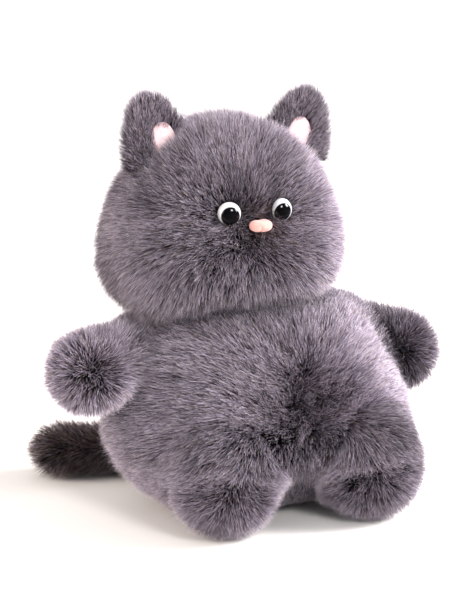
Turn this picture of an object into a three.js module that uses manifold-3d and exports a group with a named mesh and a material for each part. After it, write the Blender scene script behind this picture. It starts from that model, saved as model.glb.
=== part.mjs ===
// A sitting plush cat, about 30 cm tall, as a three.js scene graph of its sewn and moulded pieces.
//
// Millimetres, +Z up. The cat faces -Y, and its own left side is +X. The origin is on the floor, in the
// middle of the flat seat that the trunk rests on.
//
// Each furry piece is a skin: the cloth with its standing pile, as one thick wall, filled with a separate
// piece of stuffing. A limb's root is a ball about its joint, and it turns in a hollow that is cut in the
// trunk for its whole swing.

import * as THREE from 'three';
import { ConvexGeometry } from 'three/addons/geometries/ConvexGeometry.js';
import { mergeVertices } from 'three/addons/utils/BufferGeometryUtils.js';
import Module from 'manifold-3d';

const wasm = await Module();
wasm.setup();

// ---------------------------------------------------------------- driving dimensions

const PILE_WALL = 9; // cloth and dense pile together
const SOLE = 5; // the skin's thickness where it is pressed flat on the floor
const GAP = 0.4; // between pieces that touch
const SWING_GAP = 3; // between a moving limb and the hollow it moves in
const ROOM_AROUND = 10; // sides of the coarse limb that a hollow is cut with
const ROOM_CORNERS = 3; // steps of its round ends
const SWING_STEPS = 2; // steps of a swing between which the hollow is stretched

// The cat leans as it sits: its middle line bends to its right, and slopes back, up to the head's middle.
const LEAN = { side: -20, back: 22, height: 206, bend: 1.5 };

const TRUNK = { halfWidth: 107, halfDepth: 80, widest: 60, top: 168, base: -5, fullness: 2.5 };

const HEAD = { halfWidth: 79.5, halfDepth: 70, halfHeight: 68, middle: 206, jowl: 0.13 };
const HEAD_FULLNESS = { crown: 2.05, cheeks: 3.2, change: 0.4, sag: 1.3 }; // the right cheek sags a little
const FACE_ASIDE = 2; // how far the eyes and the nose are sewn to the left of the head's middle
// The face's profile: the brow slopes back from the chin up, and the muzzle hangs forward.
const FACE = { from: 15, to: 58, slope: 20, low: -40, high: 60 };
const MUZZLE = { puff: 8, halfWidth: 62, middle: -36, halfHeight: 22 };

const NECK = { height: 150, wadRadius: 24, threadRadius: 27, threadHalf: 1.5, roomRadius: 30 };
const HEAD_TURN = 20; // degrees each way
const HEAD_NOD = 7; // degrees each way

const EAR = { side: 46, front: -6, foot: 30, halfWidth: 28, height: 55, halfThick: 9, rim: 0.8 };
const EAR_TIP = { round: 13, out: { left: 10, right: 5 } };
const EAR_CURVE = { wide: 0.95, high: 0.5 }; // where each side's curve pulls, in parts of the ear
const EAR_TILT = { back: -6, splay: 8 }; // degrees
const EAR_STEPS = 6; // points along each side of an ear's outline
const LINING = { halfWidth: 10, height: 24, tipRound: 5, thick: 2, rise: 13, inward: 1, sunk: 0.5 };

const EYE = { side: 19.5, lift: 7, sink: 5, radius: 8, domeHeight: 6, rim: 1 };
const STEM = { radius: 2.4, length: 15 };
const EYE_LOOK = { outward: 0.27, up: 0.02 }; // how far an eye is turned aside and up, as slopes
const EYE_AROUND = 18; // sides of every round piece of an eye
const EYE_WELL = { flare: 5, depth: 12 }; // the funnel in the pile that an eye stands in
const PUPIL = { radius: 6, seat: 3.2, edge: 0.7, top: 3, drop: 1.2, aside: { left: -1.7, right: 0.8 } };
const PUPIL_GAP = 0.3;
const WASHER = { radius: 8, thick: 1.6, behind: 1.5 };
const NOSE = { lift: -1, halfWidth: 8, halfDepth: 5, halfHeight: 4, sink: 1, dip: 0.25, dipWide: 0.35 };

const ARM = { side: 76, height: 115, rootRadius: 24, handRadius: 30.5, mouth: 13 };
const ARM_REACH = { left: [40, -10, -16], right: [-49, -28, -6] };
const ARM_SWING = { down: -12, up: 18 };

const LEG = { side: 50, back: -22, height: 40, rootRadius: 37, footRadius: 38, mouth: 16 };
const LEG_REACH = [4, -42, -4];
const LEG_LIFT = 20;

const TAIL = { side: -16, back: 66, radius: 21, tipRadius: 20, mouth: 12, rootLength: 45 };
const TAIL_SWING = { in: -3, out: 35 };

const SEAM = { radius: 1.4, low: 48, high: 112 }; // the hand-closed seam up the trunk's back
const LABEL = { side: 34, height: 40, width: 18, length: 24, thick: 1.2, proud: 12 };

// ---------------------------------------------------------------- solids

/** A closed geometry as a manifold solid: only its places and its faces are kept. */
function toSolid(geometry) {
  const bare = geometry.index ? geometry.toNonIndexed() : geometry.clone();
  bare.deleteAttribute('normal');
  bare.deleteAttribute('uv');
  const merged = mergeVertices(bare, 1e-3);
  return new wasm.Manifold(
    new wasm.Mesh({
      numProp: 3,
      vertProperties: merged.attributes.position.array,
      triVerts: new Uint32Array(merged.index.array),
    }),
  );
}

/** A manifold solid as a three.js geometry. */
function toGeometry(solid) {
  const mesh = solid.getMesh();
  const geometry = new THREE.BufferGeometry();
  const places = new Float32Array(mesh.vertProperties);
  geometry.setAttribute('position', new THREE.BufferAttribute(places, 3));
  geometry.setIndex(new THREE.BufferAttribute(new Uint32Array(mesh.triVerts), 1));
  const flat = geometry.toNonIndexed();
  flat.computeVertexNormals();
  return flat;
}

/** A closed surface on a sphere's grid, with its poles on Z: each direction is moved to its own place. */
function moulded(placeOf, around, down) {
  const geometry = new THREE.SphereGeometry(1, around, down).rotateX(Math.PI / 2);
  return moved(geometry, placeOf);
}

/** The geometry with each of its points moved by the given function. */
function moved(geometry, placeOf) {
  const spots = geometry.attributes.position;
  for (let i = 0; i < spots.count; i += 1) {
    const spot = placeOf(new THREE.Vector3().fromBufferAttribute(spots, i));
    spots.setXYZ(i, spot.x, spot.y, spot.z);
  }
  return geometry;
}

/** A ball as a solid. */
function ball(centre, radius, around = 12) {
  const geometry = new THREE.SphereGeometry(radius, around, Math.round(around / 2));
  return toSolid(geometry.translate(centre.x, centre.y, centre.z));
}

/** Everything above a height, as a large box, to make soft pieces flat where they rest. */
function above(height) {
  const size = 800;
  return toSolid(new THREE.BoxGeometry(size, size, size).translate(0, 0, height + size / 2));
}

/** A solid turned about a line through a point, by degrees. */
function turned(geometry, pivot, axis, degrees) {
  const turn = new THREE.Matrix4().makeRotationAxis(axis, THREE.MathUtils.degToRad(degrees));
  const there = new THREE.Matrix4().makeTranslation(pivot.x, pivot.y, pivot.z);
  const back = new THREE.Matrix4().makeTranslation(-pivot.x, -pivot.y, -pivot.z);
  return geometry.clone().applyMatrix4(there.multiply(turn).multiply(back));
}

/** All the points of a geometry that pass a test. */
function pointsOf(geometry, test = () => true) {
  const spots = geometry.attributes.position;
  const points = [];
  for (let i = 0; i < spots.count; i += 1) {
    const spot = new THREE.Vector3().fromBufferAttribute(spots, i);
    if (test(spot)) {
      points.push(spot);
    }
  }
  return points;
}

/** The space that a round shape sweeps as it turns: the tight skin around its places on the way. */
function sweep(geometry, pivot, axis, from, to) {
  const points = [];
  for (let i = 0; i <= SWING_STEPS; i += 1) {
    const degrees = THREE.MathUtils.lerp(from, to, i / SWING_STEPS);
    points.push(...pointsOf(turned(geometry, pivot, axis, degrees)));
  }
  return toSolid(new ConvexGeometry(points));
}

// ---------------------------------------------------------------- shapes of the stuffed forms

/** The cat's middle line at a height: a growing bend to the side and a straight slope back. */
function spineAt(height) {
  const part = height / LEAN.height;
  return new THREE.Vector3(LEAN.side * Math.max(part, 0) ** LEAN.bend, LEAN.back * part, height);
}

/** The trunk's outline: a full egg, leaning, that is widest low down. Grow moves its wall outwards. */
function trunkForm(grow, around = 24, down = 16) {
  const { halfWidth, halfDepth, widest, top, base, fullness } = TRUNK;
  return moulded((way) => {
    const reach = way.z > 0 ? top - widest : widest - base;
    const height = widest + way.z * (reach + grow);
    const across = Math.hypot(way.x, way.y);
    const spread = (1 - Math.abs(way.z) ** fullness) ** (1 / fullness);
    const scale = across > 1e-6 ? spread / across : 0;
    const spot = spineAt(height);
    spot.x += way.x * scale * (halfWidth + grow);
    spot.y += way.y * scale * (halfDepth + grow);
    return spot;
  }, around, down);
}

/** The head's centre, on the trunk's leaning middle line. */
function headCentre() {
  return spineAt(HEAD.middle);
}

/** How far back the face lies from the plain egg, at a place measured from the head's middle. */
function faceProfile(off) {
  const front = THREE.MathUtils.smoothstep(-off.y, FACE.from, FACE.to);
  const brow = THREE.MathUtils.clamp((off.z - FACE.low) / (FACE.high - FACE.low), 0, 1);
  const across = (off.x / MUZZLE.halfWidth) ** 4;
  const tall = ((off.z - MUZZLE.middle) / MUZZLE.halfHeight) ** 2;
  return front * (FACE.slope * brow - MUZZLE.puff * Math.exp(-across - tall));
}

/** How square the head's outline is, by parts of its half height and half width: round at the crown. */
function headFullness(lift, across) {
  const { crown, cheeks, change, sag } = HEAD_FULLNESS;
  const low = cheeks + sag * THREE.MathUtils.smoothstep(-across, 0.3, 0.8);
  return THREE.MathUtils.lerp(low, crown, THREE.MathUtils.smoothstep(lift, -change, change));
}

/** The head's outline: a wide, full egg whose cheeks hang a little. Grow moves its wall outwards. */
function headForm(grow, around = 24, down = 18) {
  const { halfWidth, halfDepth, halfHeight, jowl } = HEAD;
  return moulded((way) => {
    const fullness = headFullness(way.z, way.x);
    const size = (Math.abs(way.x) ** fullness + Math.abs(way.y) ** fullness
      + Math.abs(way.z) ** fullness) ** (-1 / fullness);
    const off = new THREE.Vector3(
      way.x * size * (1 - jowl * way.z) * (halfWidth + grow),
      way.y * size * (halfDepth + grow),
      way.z * size * (halfHeight + grow),
    );
    off.y += faceProfile(off);
    return off.add(headCentre());
  }, around, down);
}

/** The place on the face at a way across and up from the head's middle. */
function faceAt(across, lift) {
  const { halfWidth, halfDepth, halfHeight, jowl } = HEAD;
  const fullness = headFullness(lift / halfHeight, across / halfWidth);
  const wide = halfWidth * (1 - jowl * (lift / halfHeight));
  const used = Math.abs(across / wide) ** fullness + Math.abs(lift / halfHeight) ** fullness;
  const off = new THREE.Vector3(across, -halfDepth * (1 - used) ** (1 / fullness), lift);
  off.y += faceProfile(off);
  return off.add(headCentre());
}

/** A stub limb's outline: a lathe from a ball at its root to a ball at its end, turned onto its line. */
function limbForm(root, reach, rootRadius, endRadius, grow, around, corners) {
  const length = reach.length();
  const profile = [];
  for (let i = 0; i <= corners; i += 1) {
    const angle = -Math.PI / 2 + (i / corners) * (Math.PI / 2);
    const radius = rootRadius + grow;
    profile.push(new THREE.Vector2(i === 0 ? 0 : radius * Math.cos(angle), radius * Math.sin(angle)));
  }
  for (let i = 0; i <= corners; i += 1) {
    const angle = (i / corners) * (Math.PI / 2);
    const radius = endRadius + grow;
    const last = i === corners;
    profile.push(new THREE.Vector2(last ? 0 : radius * Math.cos(angle), length + radius * Math.sin(angle)));
  }
  const geometry = new THREE.LatheGeometry(profile, around);
  const up = new THREE.Vector3(0, 1, 0);
  const turn = new THREE.Quaternion().setFromUnitVectors(up, reach.clone().normalize());
  return geometry.applyQuaternion(turn).translate(root.x, root.y, root.z);
}

/** The tail's middle line, from inside the trunk round to the cat's right, lying on the floor. */
function tailLine() {
  const rest = TAIL.tipRadius - 2;
  return new THREE.CatmullRomCurve3([
    new THREE.Vector3(TAIL.side, TAIL.back, rest + 4),
    new THREE.Vector3(TAIL.side - 30, TAIL.back + 22, rest + 1),
    new THREE.Vector3(TAIL.side - 68, TAIL.back + 33, rest),
    new THREE.Vector3(TAIL.side - 104, TAIL.back + 36, rest + 3),
  ]);
}

/** The tail's outline: a thick round-ended roll bent along its middle line. */
function tailForm(grow, around = 12, steps = 7) {
  const line = tailLine();
  const length = line.getLength();
  const profile = [new THREE.Vector2(0, -TAIL.radius - grow)];
  const cap = 3;
  for (let i = 1; i <= cap; i += 1) {
    const angle = -Math.PI / 2 + (i / cap) * (Math.PI / 2);
    const radius = TAIL.radius + grow;
    profile.push(new THREE.Vector2(radius * Math.cos(angle), radius * Math.sin(angle)));
  }
  for (let i = 1; i < steps; i += 1) {
    const along = i / steps;
    const radius = THREE.MathUtils.lerp(TAIL.radius, TAIL.tipRadius, along) + grow;
    profile.push(new THREE.Vector2(radius, length * along));
  }
  for (let i = 0; i < cap; i += 1) {
    const angle = (i / cap) * (Math.PI / 2);
    const radius = TAIL.tipRadius + grow;
    profile.push(new THREE.Vector2(radius * Math.cos(angle), length + radius * Math.sin(angle)));
  }
  profile.push(new THREE.Vector2(0, length + TAIL.tipRadius + grow));
  return moved(new THREE.LatheGeometry(profile, around), (spot) => {
    const along = THREE.MathUtils.clamp(spot.y / length, 0, 1);
    const onLine = line.getPointAt(along);
    const ahead = line.getTangentAt(along);
    const up = new THREE.Vector3(0, 0, 1).addScaledVector(ahead, -ahead.z).normalize();
    const side = new THREE.Vector3().crossVectors(ahead, up);
    const beyond = spot.y - along * length;
    return onLine.addScaledVector(side, spot.x).addScaledVector(up, spot.z).addScaledVector(ahead, beyond);
  });
}

// ---------------------------------------------------------------- joints

const X = new THREE.Vector3(1, 0, 0);
const Y = new THREE.Vector3(0, 1, 0);
const Z = new THREE.Vector3(0, 0, 1);

const neckPivot = spineAt(NECK.height);
const tailPivot = new THREE.Vector3(TAIL.side, TAIL.back, TAIL.tipRadius + 2);

/** Where an arm is sewn on: side is 1 for the cat's left and -1 for its right. */
function shoulder(side) {
  return spineAt(ARM.height).add(new THREE.Vector3(side * ARM.side, 0, 0));
}

/** Where a leg is sewn on. */
function hip(side) {
  return new THREE.Vector3(side * LEG.side, LEG.back, LEG.height);
}

/** From a shoulder to the middle of its hand: the two arms are held a little differently. */
function armReach(side) {
  return new THREE.Vector3(...(side > 0 ? ARM_REACH.left : ARM_REACH.right));
}

/** An arm's outline, grown outwards. */
function armForm(side, grow, around = 14, corners = 4) {
  return limbForm(shoulder(side), armReach(side), ARM.rootRadius, ARM.handRadius, grow, around, corners);
}

/** From a hip to the middle of its foot. */
function legReach(side) {
  const [out, forward, up] = LEG_REACH;
  return new THREE.Vector3(side * out, forward, up);
}

/** A leg's outline, grown outwards. */
function legForm(side, grow, around = 14, corners = 4) {
  return limbForm(hip(side), legReach(side), LEG.rootRadius, LEG.footRadius, grow, around, corners);
}

/** The line an arm swings about: positive lifts the hand on both sides. */
function armAxis(side) {
  return new THREE.Vector3(0, -side, 0);
}

/** The space the moving head needs above the trunk: the tight skin around its lower half in each pose. */
function headRoom() {
  const form = headForm(SWING_GAP, 16, 12);
  const points = [];
  for (const nod of [-HEAD_NOD, 0, HEAD_NOD]) {
    const nodded = turned(form, neckPivot, X, nod);
    for (const turn of [-HEAD_TURN, 0, HEAD_TURN]) {
      points.push(...pointsOf(turned(nodded, neckPivot, Z, turn), (spot) => spot.z < HEAD.middle));
    }
  }
  return toSolid(new ConvexGeometry(points));
}

/** The space the tail's root needs as it swings: the rest of the tail lies clear of the trunk. */
function tailRoom() {
  const nearTrunk = (spot) => spot.x > TAIL.side - TAIL.rootLength;
  const root = pointsOf(tailForm(SWING_GAP, ROOM_AROUND), nearTrunk);
  const rootShape = new THREE.BufferGeometry().setFromPoints(root);
  return sweep(rootShape, tailPivot, Z, -TAIL_SWING.out, -TAIL_SWING.in);
}

/** All the hollows that the trunk's moving neighbours need. */
function limbRooms() {
  const rooms = [headRoom()];
  rooms.push(ball(neckPivot, NECK.roomRadius));
  for (const side of [1, -1]) {
    const armRoom = armForm(side, SWING_GAP, ROOM_AROUND, ROOM_CORNERS);
    rooms.push(sweep(armRoom, shoulder(side), armAxis(side), ARM_SWING.down, ARM_SWING.up));
    const legRoom = legForm(side, SWING_GAP, ROOM_AROUND, ROOM_CORNERS);
    rooms.push(sweep(legRoom, hip(side), X, -LEG_LIFT, 0));
  }
  rooms.push(tailRoom());
  return rooms.reduce((all, room) => all.add(room));
}

// ---------------------------------------------------------------- materials

const fur = new THREE.MeshStandardMaterial({ color: 0x6b6068, roughness: 0.95, metalness: 0 });
const filling = new THREE.MeshStandardMaterial({ color: 0xf1efe9, roughness: 1, metalness: 0 });
const thread = new THREE.MeshStandardMaterial({ color: 0x4a4047, roughness: 0.8, metalness: 0 });
const pink = new THREE.MeshStandardMaterial({ color: 0xe7a9ae, roughness: 0.85, metalness: 0 });
const white = new THREE.MeshStandardMaterial({ color: 0xeef0f2, roughness: 0.15, metalness: 0 });
const black = new THREE.MeshStandardMaterial({ color: 0x0a0a0b, roughness: 0.08, metalness: 0 });
const nylon = new THREE.MeshStandardMaterial({ color: 0xe3e3df, roughness: 0.5, metalness: 0 });
const satin = new THREE.MeshStandardMaterial({ color: 0xf3f1ec, roughness: 0.45, metalness: 0 });

const cat = new THREE.Group();

/** Puts a piece into the cat. */
function add(name, solid, material) {
  const mesh = new THREE.Mesh(toGeometry(solid), material);
  mesh.name = name;
  cat.add(mesh);
}

// ---------------------------------------------------------------- trunk

const floor = above(0);
const rooms = limbRooms();

/** How far back the trunk's surface lies at a place across and a height; grow moves it outwards. */
function trunkBack(across, height, grow) {
  const { halfWidth, halfDepth, widest, top, base, fullness } = TRUNK;
  const reach = height > widest ? top - widest : widest - base;
  const rise = Math.abs(height - widest) / (reach + grow);
  const spread = (1 - rise ** fullness) ** (1 / fullness);
  const middle = spineAt(height);
  const used = (across - middle.x) / ((halfWidth + grow) * spread);
  return middle.y + (halfDepth + grow) * spread * Math.sqrt(1 - used ** 2);
}

/** A tube up the inside of the trunk's back, where its skin is sewn shut by hand. */
function backSeam(grow) {
  const path = [];
  const steps = 4;
  for (let i = 0; i <= steps; i += 1) {
    const height = THREE.MathUtils.lerp(SEAM.low, SEAM.high, i / steps);
    const across = spineAt(height).x;
    const depth = trunkBack(across, height, -PILE_WALL) - SEAM.radius - 2 * GAP;
    path.push(new THREE.Vector3(across, depth, height));
  }
  const section = new THREE.Shape().absarc(0, 0, SEAM.radius + grow, 0, 2 * Math.PI);
  return new THREE.ExtrudeGeometry(section, {
    extrudePath: new THREE.CatmullRomCurve3(path),
    steps: 8,
    curveSegments: 3,
  });
}

/** A flat folded label, standing out of the trunk's back from the depth of its cloth. */
function backLabel(grow) {
  const depth = trunkBack(LABEL.side, LABEL.height, 0) + LABEL.proud - LABEL.length / 2;
  const size = [LABEL.width + 2 * grow, LABEL.length + 2 * grow, LABEL.thick + 2 * grow];
  return new THREE.BoxGeometry(...size).translate(LABEL.side, depth, LABEL.height);
}

const trunkHollow = toSolid(trunkForm(-PILE_WALL, 16, 12)).intersect(above(SOLE));
const trunkShell = toSolid(trunkForm(0)).intersect(floor).subtract(trunkHollow).subtract(rooms);
add('body_skin', trunkShell.subtract(toSolid(backLabel(GAP))), fur);

const trunkFill = toSolid(trunkForm(-PILE_WALL - GAP, 16, 12)).intersect(above(SOLE + GAP));
const fillCuts = toSolid(backSeam(GAP)).add(toSolid(backLabel(GAP)));
add('body_stuffing', trunkFill.subtract(rooms).subtract(fillCuts), filling);
add('back_seam', toSolid(backSeam(0)), thread);
add('label', toSolid(backLabel(0)), satin);

// ---------------------------------------------------------------- neck

add('neck_stuffing', ball(neckPivot, NECK.wadRadius), filling);
const threadRing = new THREE.TorusGeometry(NECK.threadRadius, NECK.threadHalf, 6, 20);
add('neck_seam', toSolid(threadRing.translate(neckPivot.x, neckPivot.y, neckPivot.z)), thread);

// ---------------------------------------------------------------- head

const headOuter = toSolid(headForm(0));
const headHollow = toSolid(headForm(-PILE_WALL, 16, 12));
const neckRoom = ball(neckPivot, NECK.roomRadius);
let headSkin = headOuter.subtract(headHollow).subtract(neckRoom);
let headFill = toSolid(headForm(-PILE_WALL - GAP, 16, 12)).subtract(neckRoom);

/** A round profile turned about its axis and laid so that it looks along a direction. */
function laidLathe(profile, around, place, facing) {
  const turn = new THREE.Quaternion().setFromUnitVectors(Y, facing);
  return new THREE.LatheGeometry(profile, around).applyQuaternion(turn).translate(place.x, place.y, place.z);
}

/** The points of a profile: pairs of a radius and a height. */
function profileOf(...pairs) {
  return pairs.map(([radius, height]) => new THREE.Vector2(radius, height));
}

/** A dome's profile, with a stem behind it. */
function domeProfile() {
  const profile = profileOf([0, -STEM.length], [STEM.radius, -STEM.length],
    [STEM.radius, -EYE.rim], [EYE.radius - EYE.rim, -EYE.rim]);
  const steps = 6;
  for (let i = 0; i <= steps; i += 1) {
    const angle = (i / steps) * (Math.PI / 2);
    const radius = i === steps ? 0 : EYE.radius * Math.cos(angle);
    profile.push(new THREE.Vector2(radius, EYE.domeHeight * Math.sin(angle)));
  }
  return profile;
}

/** One eye: a moulded dome with its stem, a pupil set in it, and the washer that locks it inside. */
function buildEye(side, word) {
  const foot = faceAt(FACE_ASIDE + side * EYE.side, EYE.lift).add(new THREE.Vector3(0, EYE.sink, 0));
  const facing = new THREE.Vector3(side * EYE_LOOK.outward, -1, EYE_LOOK.up).normalize();
  const laid = (profile, place) => toSolid(laidLathe(profile, EYE_AROUND, place, facing));

  const seat = foot.clone().addScaledVector(facing, PUPIL.seat);
  seat.x += PUPIL.aside[word];
  seat.z -= PUPIL.drop;
  const half = PUPIL.radius / 2;
  const pupil = laid(profileOf([0, 0], [PUPIL.radius, 0], [PUPIL.radius, PUPIL.edge],
    [half, (PUPIL.edge + 2 * PUPIL.top) / 3], [0, PUPIL.top]), seat);
  const wide = PUPIL.radius + PUPIL_GAP;
  const pocket = laid(profileOf([0, -PUPIL_GAP], [wide, -PUPIL_GAP], [wide, EYE.domeHeight],
    [0, EYE.domeHeight]), seat);
  add(`eye_${word}_dome`, laid(domeProfile(), foot).subtract(pocket), white);
  add(`eye_${word}_pupil`, pupil, black);

  const hole = STEM.radius + GAP;
  const washerSeat = foot.clone().addScaledVector(facing, -PILE_WALL - WASHER.behind);
  const washer = laid(profileOf([hole, -WASHER.thick], [WASHER.radius, -WASHER.thick],
    [WASHER.radius, 0], [hole, 0], [hole, -WASHER.thick]), washerSeat);
  add(`eye_${word}_washer`, washer, nylon);

  const wellFoot = -EYE.rim - GAP;
  const well = laid(profileOf([0, wellFoot], [EYE.radius + GAP, wellFoot],
    [EYE.radius + EYE_WELL.flare, EYE_WELL.depth], [0, EYE_WELL.depth]), foot);
  const boreFoot = -STEM.length - 1;
  const bore = laid(profileOf([0, boreFoot], [hole, boreFoot], [hole, 1], [0, 1]), foot);
  const roomFoot = -WASHER.thick - GAP;
  const washerRoom = laid(profileOf([0, roomFoot], [WASHER.radius + GAP, roomFoot],
    [WASHER.radius + GAP, GAP], [0, GAP]), washerSeat);
  const cut = well.add(bore).add(washerRoom);
  headSkin = headSkin.subtract(cut);
  headFill = headFill.subtract(cut);
}

buildEye(1, 'left');
buildEye(-1, 'right');

// ---------------------------------------------------------------- nose

/** A bean: an egg wider than it is tall, with a dip in the middle of its top. */
function noseForm(grow) {
  const place = faceAt(FACE_ASIDE, NOSE.lift).add(new THREE.Vector3(0, NOSE.sink, 0));
  return moulded((way) => {
    const dip = way.z > 0 ? 1 - NOSE.dip * Math.exp(-((way.x / NOSE.dipWide) ** 2)) : 1;
    return new THREE.Vector3(
      place.x + way.x * (NOSE.halfWidth + grow),
      place.y + way.y * (NOSE.halfDepth + grow),
      place.z + way.z * dip * (NOSE.halfHeight + grow),
    );
  }, 16, 10);
}

add('nose', toSolid(noseForm(0)), pink);
headSkin = headSkin.subtract(toSolid(noseForm(GAP)));

// ---------------------------------------------------------------- ears

/** A round-topped triangle on the XZ plane, leaning to one side as it rises. */
function earOutline(halfWidth, height, tipRound, lean) {
  const outline = new THREE.Shape();
  outline.moveTo(-halfWidth, 0);
  const wide = halfWidth * EAR_CURVE.wide;
  const high = height * EAR_CURVE.high;
  outline.bezierCurveTo(-wide + lean / 2, high, lean - tipRound, height, lean, height);
  outline.bezierCurveTo(lean + tipRound, height, wide + lean / 2, high, halfWidth, 0);
  outline.lineTo(-halfWidth, 0);
  return outline;
}

/** An extruded shape stood up so that its front faces the cat's front. */
function standing(outline, thick, bevel) {
  const geometry = new THREE.ExtrudeGeometry(outline, {
    depth: thick,
    bevelEnabled: bevel > 0,
    bevelThickness: bevel,
    bevelSize: bevel,
    bevelOffset: -bevel,
    bevelSegments: 2,
    curveSegments: EAR_STEPS,
  });
  return geometry.rotateX(Math.PI / 2);
}

/** Moves an ear piece from its own place onto the head. */
function onHead(geometry, side) {
  const back = THREE.MathUtils.degToRad(EAR_TILT.back);
  const splay = THREE.MathUtils.degToRad(side * EAR_TILT.splay);
  const turn = new THREE.Matrix4().makeRotationFromEuler(new THREE.Euler(back, splay, 0, 'YXZ'));
  const at = headCentre().add(new THREE.Vector3(side * EAR.side, EAR.front, EAR.foot));
  return geometry.applyMatrix4(turn).translate(at.x, at.y, at.z);
}

/** An ear lining's outline in the ear's own place, grown outwards, and stretched towards the front. */
function liningForm(side, grow, extra) {
  const { halfWidth, height, tipRound, thick, rise, inward, sunk } = LINING;
  const outline = earOutline(halfWidth + grow, height + grow, tipRound + grow, 0);
  const back = -EAR.halfThick + thick + sunk + grow;
  const patch = standing(outline, thick + grow + extra, 0);
  return toSolid(onHead(patch.translate(-side * inward, back, rise - grow), side));
}

/** One ear: a thick furry shell sewn on the head, and a thin pink lining laid in its front. */
function buildEar(side, word) {
  const bevel = EAR.halfThick * EAR.rim;
  const thick = 2 * (EAR.halfThick - bevel);
  const outline = earOutline(EAR.halfWidth, EAR.height, EAR_TIP.round, side * EAR_TIP.out[word]);
  const body = toSolid(onHead(standing(outline, thick, bevel).translate(0, thick / 2, 0), side));
  const clearOfHead = toSolid(headForm(GAP));
  add(`ear_${word}_shell`, body.subtract(liningForm(side, GAP, LINING.thick)).subtract(clearOfHead), fur);
  add(`ear_${word}_lining`, liningForm(side, 0, 0).subtract(clearOfHead), pink);
}

buildEar(1, 'left');
buildEar(-1, 'right');

add('head_skin', headSkin, fur);
add('head_stuffing', headFill, filling);

// ---------------------------------------------------------------- arms, legs and tail

/** A limb's skin, open at its root, and the filling inside it. */
function buildLimb(name, form, root, mouth) {
  const opening = ball(root, mouth);
  const outer = toSolid(form(0)).intersect(floor);
  const hollow = toSolid(form(-PILE_WALL)).intersect(above(SOLE));
  add(`${name}_skin`, outer.subtract(hollow).subtract(opening), fur);
  add(`${name}_stuffing`, toSolid(form(-PILE_WALL - GAP)).intersect(above(SOLE + GAP)), filling);
}

/** The middle of a limb's open root: where its skin is sewn to the trunk. */
function mouthAt(root, reach, rootRadius) {
  return root.clone().addScaledVector(reach.clone().normalize(), -rootRadius);
}

for (const [side, word] of [[1, 'left'], [-1, 'right']]) {
  buildLimb(`arm_${word}`, (grow) => armForm(side, grow),
    mouthAt(shoulder(side), armReach(side), ARM.rootRadius), ARM.mouth);
  buildLimb(`leg_${word}`, (grow) => legForm(side, grow),
    mouthAt(hip(side), legReach(side), LEG.rootRadius), LEG.mouth);
}

const tailReach = tailLine().getTangentAt(0);
buildLimb('tail', tailForm, mouthAt(tailLine().getPointAt(0), tailReach, TAIL.radius), TAIL.mouth);

export default cat;
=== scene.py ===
"""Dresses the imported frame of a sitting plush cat: its pile, eyes, nose, ears, label, floor
and light.

Every shape is worked out in millimetres in the CAD frame: +Z is up, the cat faces -Y, its own left is +X.
A shape becomes metres when its mesh is made. A sewn form is a cloth skin with a pile of loose fibres growing
out of it; the forms repeat the CAD's own formulas, so a piece stands where its CAD node stands.
"""

import logging
import math
from dataclasses import dataclass, field
from enum import Enum

import bmesh
import bpy
import numpy as np
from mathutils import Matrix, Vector


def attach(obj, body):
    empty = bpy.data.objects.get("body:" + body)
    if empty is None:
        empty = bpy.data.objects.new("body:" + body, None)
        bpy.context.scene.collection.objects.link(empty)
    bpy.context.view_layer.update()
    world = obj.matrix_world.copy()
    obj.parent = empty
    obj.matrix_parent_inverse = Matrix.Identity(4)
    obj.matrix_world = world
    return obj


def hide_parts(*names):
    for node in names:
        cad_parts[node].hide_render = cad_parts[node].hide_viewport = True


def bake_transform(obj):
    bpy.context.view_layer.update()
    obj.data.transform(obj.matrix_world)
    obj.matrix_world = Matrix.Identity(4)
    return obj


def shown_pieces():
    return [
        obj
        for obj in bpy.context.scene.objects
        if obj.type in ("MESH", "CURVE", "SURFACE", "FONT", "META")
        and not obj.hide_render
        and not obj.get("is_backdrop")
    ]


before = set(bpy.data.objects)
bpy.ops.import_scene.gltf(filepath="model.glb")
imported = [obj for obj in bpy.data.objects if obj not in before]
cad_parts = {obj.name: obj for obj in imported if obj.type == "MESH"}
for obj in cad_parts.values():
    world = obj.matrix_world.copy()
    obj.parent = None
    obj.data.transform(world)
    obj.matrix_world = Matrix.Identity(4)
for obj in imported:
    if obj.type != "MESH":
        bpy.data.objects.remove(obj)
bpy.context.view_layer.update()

MM = 0.001
Array = np.ndarray
log = logging.getLogger("plush_cat")


# ---------------------------------------------------------------- arrays and noise


def unit(vectors: Array) -> Array:
    """Each vector divided by its own length."""
    return vectors / np.maximum(np.linalg.norm(vectors, axis=-1, keepdims=True), 1e-9)


def dot(a: Array, b: Array) -> Array:
    """The product of each pair of vectors, kept as a column."""
    return np.sum(a * b, axis=-1, keepdims=True)


def smooth(low: float, high: float, values: Array) -> Array:
    """0 below low, 1 above high, and an S curve between them."""
    part = np.clip((values - low) / (high - low), 0.0, 1.0)
    return part * part * (3 - 2 * part)


def smooth_line(values: Array, low: float, high: float) -> Array:
    """0 below low, 1 above high, and a straight line between them."""
    return np.clip((values - low) / (high - low), 0.0, 1.0)


def bell(off: Array, reach: float) -> Array:
    """1 where off is 0, falling to about a third where off is as large as reach."""
    return np.exp(-((off / reach) ** 2))


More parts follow.
